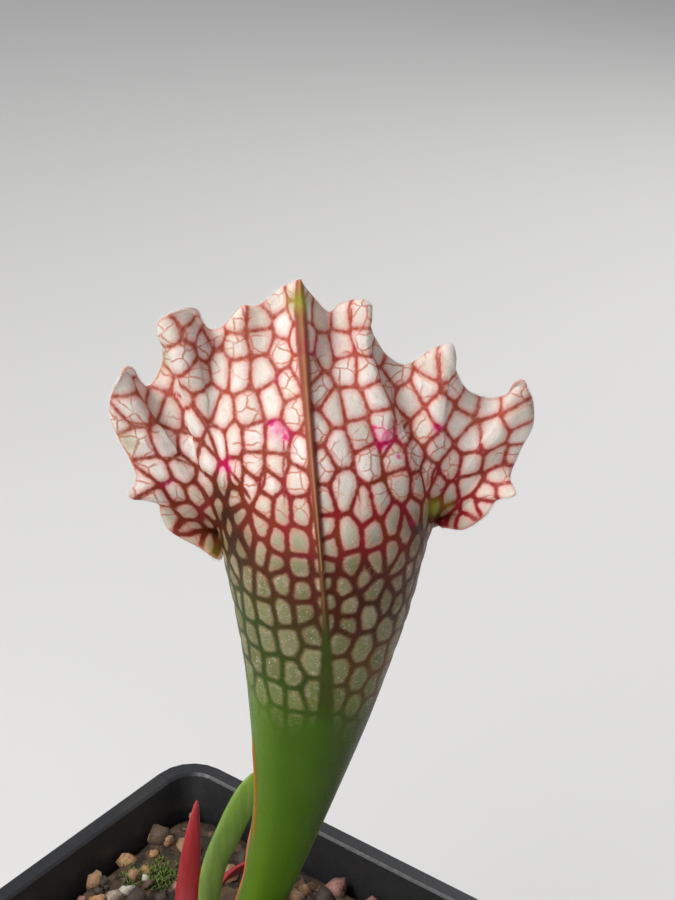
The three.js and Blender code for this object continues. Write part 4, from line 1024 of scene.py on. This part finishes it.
class LeafSizes(bpy.types.PropertyGroup):
    green: bpy.props.FloatVectorProperty(name="Green leaf", description="Colour of the slender green leaf",
                                         default=(0.13, 0.26, 0.015), **COLOUR)
    red: bpy.props.FloatVectorProperty(name="Red leaves", description="Colour of the two red leaves",
                                       default=(0.36, 0.014, 0.022), **COLOUR)


class PotSizes(bpy.types.PropertyGroup):
    edge: bpy.props.FloatProperty(name="Edge rounding", description="Radius of the pot's edges",
                                  default=0.0003, min=0.0, max=0.0006, **LENGTH)
    plastic: bpy.props.FloatVectorProperty(name="Plastic", description="Colour of the pot",
                                           default=(0.017, 0.0175, 0.019), **COLOUR)


class MixSizes(bpy.types.PropertyGroup):
    surface: bpy.props.FloatProperty(name="Surface height", description="Height of the mix over the pot's foot",
                                     default=0.0664, min=0.05, max=0.07, **LENGTH)
    grains: bpy.props.IntProperty(name="Grains", description="How many grains of grit lie on the mix",
                                  default=520, min=0, max=2000)
    peat: bpy.props.FloatVectorProperty(name="Peat", description="Colour of the peat",
                                        default=(0.022, 0.013, 0.008), **COLOUR)


class StageSizes(bpy.types.PropertyGroup):
    floor: bpy.props.FloatProperty(name="Floor", description="Half width of the floor", default=12.0,
                                   min=0.5, max=20.0, unit="LENGTH")
    lens: bpy.props.FloatProperty(name="Lens", description="The camera's focal length", default=80.0,
                                  min=20.0, max=300.0, unit="CAMERA")


# ---------------------------------------------------------------- shapes of the smaller pieces
def wing_rings(t, k, q):
    """Each ring runs out along the blade's left face and back along its right one. The blade
    leaves the tube's front, and its direction turns to the left as it goes out."""
    _, _, _, right, back, _ = tube_frames(t)
    ripple = 1 + 0.05 * np.sin(k * 41.0) + 0.04 * np.sin(k * 83.0)
    widening = 0.45 + 0.55 * np.minimum(1, k / 0.62)
    widening *= 1 - 0.35 * hill(k - 0.24, 0.13) + 0.22 * hill(k - 0.53, 0.09)
    reach = WING_WIDE * widening * np.minimum(1, 4.5 * k + 0.12) * np.minimum(1, 0.25 + 2.4 * (1 - k)) * ripple
    right, front = right[:, None], -back[:, None]
    a = WING_TURN * q[:, None]
    at = tube_grid(np.array([math.pi]), t, -0.5)
    at = at + (front * np.cos(a * 0.5) - right * np.sin(a * 0.5)) * (reach[:, None] * q)[..., None]
    side = (right * np.cos(a) + front * np.sin(a)) * np.interp(q, [0, 0.8, 1.0], [0.36, 0.24, 0.12])[:, None]
    return np.concatenate([at - side, (at + side)[:, ::-1]], 1)


def leaf_rings(line, half, deep, face, crease, stations=120, sides=36):
    """A small leaf: at each station an ellipse, half width along the face and half depth across,
    flattened on one side by a crease that runs down its middle."""
    t = np.linspace(0, len(line) - 1, stations)
    at = through(line, t)
    along = unit(through(line, np.minimum(t + 0.01, t[-1])) - through(line, np.maximum(t - 0.01, 0)))
    close = np.sqrt(np.clip((t[-1] - t) / 0.12, 0.02, 1.0))
    wide, thick = np.maximum(through(np.array([half, deep]).T, t), 0.15).T * close
    right = unit(face - (along @ face)[:, None] * along)
    a = 2 * np.pi * np.arange(sides) / sides
    dent = 1 - crease * hill(np.cos(a), 0.35) * (np.sin(a) > 0)
    lift = thick[:, None] * np.sin(a) * (1 - (1 - dent) * np.clip(1 - thick / wide, 0, 1)[:, None])
    return (at[:, None] + (wide[:, None] * np.cos(a))[..., None] * right[:, None]
            + lift[..., None] * np.cross(along, right)[:, None])


def rounded_reach(angle, half, corner):
    """How far the edge of a square with rounded corners stands from its middle at each angle,
    over how far the plain square's does."""
    c, s = np.abs(np.cos(angle)), np.abs(np.sin(angle))
    square = half / np.maximum(c, s)
    inner = half - corner
    dot = (c + s) * inner
    arc = dot + np.sqrt(np.maximum(dot**2 - (2 * inner**2 - corner**2), 0))
    return np.where(np.minimum(c, s) * square > inner, arc, square) / square


def lump_height(x, y, lumps, half):
    """The sum of round lumps, each its height times e to the power of minus the squared distance
    over its squared size, plus a slope up to the pot's walls."""
    high = WALL_SLOPE * ease(np.maximum(np.abs(x), np.abs(y)) / half, 0.5, 0.95)
    for at_x, at_y, size, rise in lumps:
        high += rise * np.exp(-((x - at_x) ** 2 + (y - at_y) ** 2) / size**2)
    return high


def spike_points(root, lean, length, radius, draw):
    """Three-sided spikes: a triangle about each root, square to the spike, and a tip."""
    count = len(root)
    side = unit(np.cross(lean, draw.standard_normal((count, 3))))
    a = 2 * np.pi * np.arange(3)[:, None] / 3
    ring = root[:, None] + radius * (np.cos(a) * side[:, None] + np.sin(a) * np.cross(lean, side)[:, None])
    points = np.concatenate([ring, (root + lean * length)[:, None]], 1).reshape(-1, 3)
    faces = np.array([[0, 1, 3], [1, 2, 3], [2, 0, 3], [0, 2, 1]])
    return points, [(faces + 4 * np.arange(count)[:, None, None]).reshape(-1, 3)]


def merged_copy(node, name, material, flat_angle):
    """A copy of a node's mesh with its corners merged and its flat faces joined."""
    work = bmesh.new()
    work.from_mesh(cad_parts[node].data)
    bmesh.ops.remove_doubles(work, verts=work.verts, dist=1e-6)
    if flat_angle:
        bmesh.ops.dissolve_limit(work, angle_limit=math.radians(flat_angle), verts=work.verts, edges=work.edges)
    mesh = bpy.data.meshes.new(name)
    work.to_mesh(mesh)
    work.free()
    mesh.polygons.foreach_set("use_smooth", np.ones(len(mesh.polygons), bool))
    mesh.set_sharp_from_angle(angle=math.radians(35.0))
    return added(name, mesh, node, material)


def facing(at, target):
    """The matrix of a lamp or camera at one place that looks towards another, upright."""
    look = unit(target - at)
    right = unit(np.cross(look, [0, 0, 1.0]))
    m = np.eye(4)
    m[:3] = np.stack([right, np.cross(right, look), -look, at], 1)
    return Matrix(m.tolist())


# ---------------------------------------------------------------- operators
class PITCHER_PLANT_OT_pitcher(bpy.types.Operator):
    """Builds the pitcher: its hollow tube, and its hood in two halves that meet at the midrib"""
    bl_idname = "pitcher_plant.pitcher"
    bl_label = "Pitcher"

    def execute(self, context):
        sizes = context.scene.pitcher_sizes
        skin = pitcher_skin(sizes)
        material = pitcher_material(sizes)
        first, (rows, columns) = skin["first"], skin["middle"].shape[:2]

        # the tube: every second column, its top row shared with the hood's first
        rows_in = np.append(np.arange(np.searchsorted(skin["t"], HOLLOW_FROM), first, 3), first)
        points, normals, floats, faces, out_count = skin_part(
            np.arange(first + 1), rows_in, np.arange(0, columns, 2), True)
        ring = np.arange(columns // 2)
        faces += [fan(len(points), ring), fan(len(points) + 1, out_count + ring, True)]
        points = np.concatenate([points, [points[ring].mean(0), points[out_count + ring].mean(0)]])
        normals = np.concatenate([normals, [[0.0, 0, -1], [0.0, 0, 1]]])
        floats = {key: np.append(value, value[[0, out_count]]) for key, value in floats.items()}
        new_piece("pitcher_tube", placed(points), faces, "pitcher_leaf", material, floats, normals)

        # the hood's halves: the inner face has every second row, so the sides have five corners
        rows_hood = np.arange(first, rows)
        halves = [("pitcher_hood_right", np.arange(RIGHT_COLUMNS + 1)),
                  ("pitcher_hood_left", np.append(np.arange(RIGHT_COLUMNS, columns), 0))]
        for name, picks in halves:
            points, normals, floats, faces, out_count = skin_part(rows_hood, rows_hood[::2], picks, False)
            n = len(picks)
            for column, order in ((0, 1), (n - 1, -1)):
                outer = np.arange(0, len(rows_hood) - 1, 2) * n + column
                inner = out_count + np.arange(len(outer)) * n + column
                faces.append(np.stack([outer, inner, inner + n, outer + 2 * n, outer + n], 1)[:, ::-order])
            faces.append(joined(np.arange(n), out_count + np.arange(n), False, True))
            new_piece(name, placed(points), faces, "pitcher_leaf", material, floats, normals)
        return {"FINISHED"}


class PITCHER_PLANT_OT_wing(bpy.types.Operator):
    """Builds the thin wing down the pitcher's front"""
    bl_idname = "pitcher_plant.wing"
    bl_label = "Wing"

    def execute(self, context):
        k, q = np.linspace(0, 1, 90), np.linspace(0, 1, 9)
        low, high = WING_STATIONS
        points, faces = lofted(wing_rings(low + (high - low) * k, k, q))
        floats = {"along": np.append(np.tile(np.append(q, q[::-1]), len(k)), [0, 0])}
        new_piece("pitcher_wing", placed(points), faces, "pitcher_leaf", wing_material(), floats)
        return {"FINISHED"}


class PITCHER_PLANT_OT_hairs(bpy.types.Operator):
    """Builds the fine white hairs on the hood's margin"""
    bl_idname = "pitcher_plant.hairs"
    bl_label = "Hairs"

    def execute(self, context):
        sizes = context.scene.pitcher_sizes
        skin = pitcher_skin(sizes)
        count = sizes.hairs
        draw = np.random.default_rng(HAIR_DRAW)
        outer, inner = (face[0][-1] for face in skin["faces"])
        pick = draw.choice(np.flatnonzero(skin["back"]), count)
        root = 0.5 * (outer + inner)[pick] + (np.roll(outer, -1, 0) - outer)[pick] * draw.random((count, 1))
        out = unit(skin["middle"][-1] - skin["middle"][-3])[pick]
        lean = unit(out + 0.55 * draw.standard_normal((count, 3)))
        length = sizes.hair / MM * draw.uniform(0.4, 1.25, (count, 1))
        points, faces = spike_points(root, lean, length, HAIR_RADIUS, draw)
        new_piece("pitcher_hairs", placed(points), faces, "pitcher_leaf", hair_material())
        return {"FINISHED"}


class PITCHER_PLANT_OT_leaves(bpy.types.Operator):
    """Builds the green leaf and the two red leaves"""
    bl_idname = "pitcher_plant.leaves"
    bl_label = "Small leaves"

    def execute(self, context):
        sizes = context.scene.leaf_sizes
        green = leaf_material("leaf_green", (0.10, 0.12, 0.05), tuple(sizes.green), (0.26, 0.36, 0.05))
        red = leaf_material("leaf_red", (0.24, 0.035, 0.03), tuple(sizes.red), (0.42, 0.05, 0.06))
        for name, form in LEAVES.items():
            rings = leaf_rings(**form)
            points, faces = lofted(rings)
            along = np.append(np.repeat(np.linspace(0, 1, len(rings)), rings.shape[1]), [0, 1])
            slot, material = ("green_leaf", green) if name == "green_leaf" else ("red_leaf", red)
            new_piece(name + "_skin", placed(points), faces, name, material, {"along": along})
        return {"FINISHED"}


class PITCHER_PLANT_OT_pot(bpy.types.Operator):
    """Builds the nursery pot from the part's own, with its edges rounded"""
    bl_idname = "pitcher_plant.pot"
    bl_label = "Pot"

    def execute(self, context):
        sizes = context.scene.pot_sizes
        piece = merged_copy("nursery_pot", "nursery_pot_shell", pot_material(sizes), 3.0)
        bevel = piece.modifiers.new("edges", "BEVEL")
        bevel.width = sizes.edge
        bevel.segments = 3
        bevel.limit_method = "ANGLE"
        bevel.angle_limit = math.radians(40.0)
        bevel.harden_normals = False
        return {"FINISHED"}


class PITCHER_PLANT_OT_rhizome(bpy.types.Operator):
    """Builds the rhizome and its roots from the part's own"""
    bl_idname = "pitcher_plant.rhizome"
    bl_label = "Rhizome"

    def execute(self, context):
        merged_copy("rhizome", "rhizome_skin", bark_material(), 0.0)
        return {"FINISHED"}


class PITCHER_PLANT_OT_mix(bpy.types.Operator):
    """Builds the potting mix: a lumpy block of peat, the grit on it and some moss"""
    bl_idname = "pitcher_plant.mix"
    bl_label = "Potting mix"

    def execute(self, context):
        sizes = context.scene.mix_sizes
        draw = np.random.default_rng(MIX_DRAW)
        low, top = (np.array(q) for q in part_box("potting_mix"))
        half = float(top[0]) / MM - 0.05
        surface = sizes.surface / MM
        lumps = np.stack([draw.uniform(*ends, LUMPS) for ends in LUMP_RANGES], 1)

        # the peat: a square grid with rounded corners on top, and a plain narrower foot
        n = PEAT_GRID
        a, b = np.meshgrid(*[np.linspace(-1, 1, n)] * 2)
        reach = rounded_reach(np.arctan2(b, a), 1.0, PEAT_CORNER / half)
        x, y = a * half * reach, b * half * reach
        calm = 1 - ease(np.maximum(np.abs(a), np.abs(b)), 0.94, 1.0)
        z = surface + calm * 0.4 + lump_height(x, y, lumps, half) * (0.3 + 0.7 * calm)
        tops = np.stack([x, y, z], -1).reshape(-1, 3)
        number = np.arange(n * n).reshape(n, n)
        edge = np.concatenate([number[0, :-1], number[:-1, -1], number[-1, :0:-1], number[:0:-1, 0]])
        foot_z = float(low[2]) / MM
        narrow = (np.interp(foot_z, [0, 75.0], [30.0, 38.2]) - 1.5) / half
        foot = tops[edge] * [narrow, narrow, 0] + [0, 0, foot_z + 0.05]
        around = n * n + np.arange(len(foot))
        faces = [grid_faces(n, n, False), joined(around, edge, True), fan(n * n + len(foot), around)]
        points = np.concatenate([tops, foot, [[0, 0, foot_z + 0.05]]])
        new_piece("potting_mix_peat", points * MM, faces, "potting_mix", peat_material(sizes))

        # grains: a small ball of few points, squeezed, dented and turned at random
        count = sizes.grains
        span = half - 1.8
        at = np.stack([draw.uniform(-span, span, count), draw.uniform(-span, span, count)], 1)
        big = draw.gamma(5.0, 0.22, count).clip(0.5, 2.0)
        known = np.array(GRAINS)
        at, big = np.append(at, known[:, :2], axis=0), np.append(big, known[:, 2])
        count += len(known)
        height = surface + 0.4 + lump_height(*at.T, lumps, half) + big * draw.uniform(-0.25, 0.35, count)
        squeeze = draw.uniform(0.6, 1.1, (count, 3)) * big[:, None]
        rows, cols = 4, 7
        polar = np.linspace(0, np.pi, rows + 2)[1:-1, None]
        spin = 2 * np.pi * np.arange(cols) / cols
        ball = [np.sin(polar) * np.cos(spin), np.sin(polar) * np.sin(spin), np.cos(polar) + 0 * spin]
        ball = np.concatenate([np.stack(ball, -1).reshape(-1, 3), [[0, 0, 1.0], [0, 0, -1.0]]])
        dents = (1 + 0.16 * draw.standard_normal((count, len(ball), 1))).clip(0.7, 1.3)
        shape = ball * dents * squeeze[:, None]
        basis = np.linalg.qr(draw.standard_normal((count, 3, 3)))[0]
        basis[np.linalg.det(basis) < 0, :, 0] *= -1
        shape = np.einsum("nij,nkj->nki", basis, shape)
        points = (shape + np.column_stack([at, height])[:, None]).reshape(-1, 3)
        points[:, :2] = np.clip(points[:, :2], -half + 0.2, half - 0.2)
        j = np.arange(cols)
        caps = np.concatenate([fan(rows * cols, j, True), fan(rows * cols + 1, (rows - 1) * cols + j)])
        shift = (np.arange(count) * len(ball))[:, None, None]
        faces = [(q + shift).reshape(-1, q.shape[1]) for q in (grid_faces(rows, cols, True, 0, True), caps)]
        shade = np.append(draw.random(count)[:-len(known)], known[:, 3])
        floats = {"shade": np.repeat(shade, len(ball))}
        new_piece("potting_mix_grit", points * MM, faces, "potting_mix", grit_material(), floats)

        # moss: tufts of short leaves in a few round cushions
        tufts = [draw.standard_normal((int(70 * size), 2)) * size * 0.42 + [x, y] for x, y, size in MOSS]
        tufts = np.concatenate(tufts)
        tufts = tufts[np.abs(tufts).max(1) < half - 1.2]
        root = np.column_stack([tufts, surface + 0.3 + lump_height(*tufts.T, lumps, half)])
        lean = unit(np.array([0, 0, 1.0]) + 0.55 * draw.standard_normal(root.shape))
        points, faces = spike_points(root, lean, draw.uniform(0.7, 1.6, (len(root), 1)), MOSS_RADIUS, draw)
        floats = {"along": np.tile([0.0, 0, 0, 1], len(root))}
        new_piece("potting_mix_moss", points * MM, faces, "potting_mix", moss_material(), floats)
        return {"FINISHED"}


class PITCHER_PLANT_OT_stage(bpy.types.Operator):
    """Builds the plain floor, a pale world, the soft lights and the camera"""
    bl_idname = "pitcher_plant.stage"
    bl_label = "Stage"

    def execute(self, context):
        scene = context.scene
        reach = scene.stage_sizes.floor
        corners = [(x * reach, y * reach, -0.0002) for x, y in ((-1, -1), (1, -1), (1, 1), (-1, 1))]
        mesh = bpy.data.meshes.new("floor")
        mesh.from_pydata(corners, [], [(0, 1, 2, 3)])
        mesh.materials.append(Wiring("pale_floor").set(Base_Color=(0.72, 0.71, 0.69), Roughness=0.9))
        floor = bpy.data.objects.new("floor", mesh)
        scene.collection.objects.link(floor)

        world = bpy.data.worlds.new("studio")
        world.use_nodes = True
        world.node_tree.nodes["Background"].inputs[0].default_value = (0.93, 0.95, 1.0, 1.0)
        world.node_tree.nodes["Background"].inputs[1].default_value = 0.30
        scene.world = world
        scene.view_settings.view_transform = "Standard"

        look = unit(LOOK)
        right = unit(np.cross(look, [0, 0, 1.0]))
        axes = np.stack([right, np.cross(right, look), look])
        aim = EYE + look * AIM_FAR
        for name, offset, size, power in LIGHTS:
            data = bpy.data.lights.new(name, "AREA")
            data.shape = "DISK"
            data.size = size
            data.energy = power
            lamp = bpy.data.objects.new(name, data)
            lamp.matrix_world = facing(aim + offset @ axes, aim)
            scene.collection.objects.link(lamp)

        data = bpy.data.cameras.new("camera")
        data.lens = scene.stage_sizes.lens
        data.sensor_width = 36.0
        data.clip_start = 0.005
        camera = bpy.data.objects.new("camera", data)
        camera.matrix_world = facing(EYE, EYE + look)
        scene.collection.objects.link(camera)
        scene.camera = camera
        return {"FINISHED"}


class PITCHER_PLANT_PT_panel(bpy.types.Panel):
    """Lists the plant's pieces with their sizes and colours"""
    bl_idname = "PITCHER_PLANT_PT_panel"
    bl_label = "Pitcher plant"
    bl_space_type = "VIEW_3D"
    bl_region_type = "UI"
    bl_category = "Pitcher plant"

    def draw(self, context):
        layout = self.layout
        for operator in OPERATORS:
            layout.operator(operator.bl_idname)
        for name, group in GROUPS.items():
            box = layout.box()
            for key in group.__annotations__:
                box.prop(getattr(context.scene, name), key)


GROUPS = {"pitcher_sizes": PitcherSizes, "leaf_sizes": LeafSizes, "pot_sizes": PotSizes,
          "mix_sizes": MixSizes, "stage_sizes": StageSizes}
OPERATORS = [PITCHER_PLANT_OT_pot, PITCHER_PLANT_OT_mix, PITCHER_PLANT_OT_rhizome, PITCHER_PLANT_OT_pitcher,
             PITCHER_PLANT_OT_wing, PITCHER_PLANT_OT_hairs, PITCHER_PLANT_OT_leaves, PITCHER_PLANT_OT_stage]


def register():
    for item in [*GROUPS.values(), *OPERATORS, PITCHER_PLANT_PT_panel]:
        bpy.utils.register_class(item)
    for name, group in GROUPS.items():
        setattr(bpy.types.Scene, name, bpy.props.PointerProperty(type=group))


def unregister():
    for name in GROUPS:
        delattr(bpy.types.Scene, name)
    for item in [PITCHER_PLANT_PT_panel, *OPERATORS[::-1], *list(GROUPS.values())[::-1]]:
        bpy.utils.unregister_class(item)


def main():
    register()
    for name in ("pot", "mix", "rhizome", "pitcher", "wing", "hairs", "leaves", "stage"):
        getattr(bpy.ops.pitcher_plant, name)()
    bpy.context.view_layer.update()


if __name__ == "__main__":
    main()
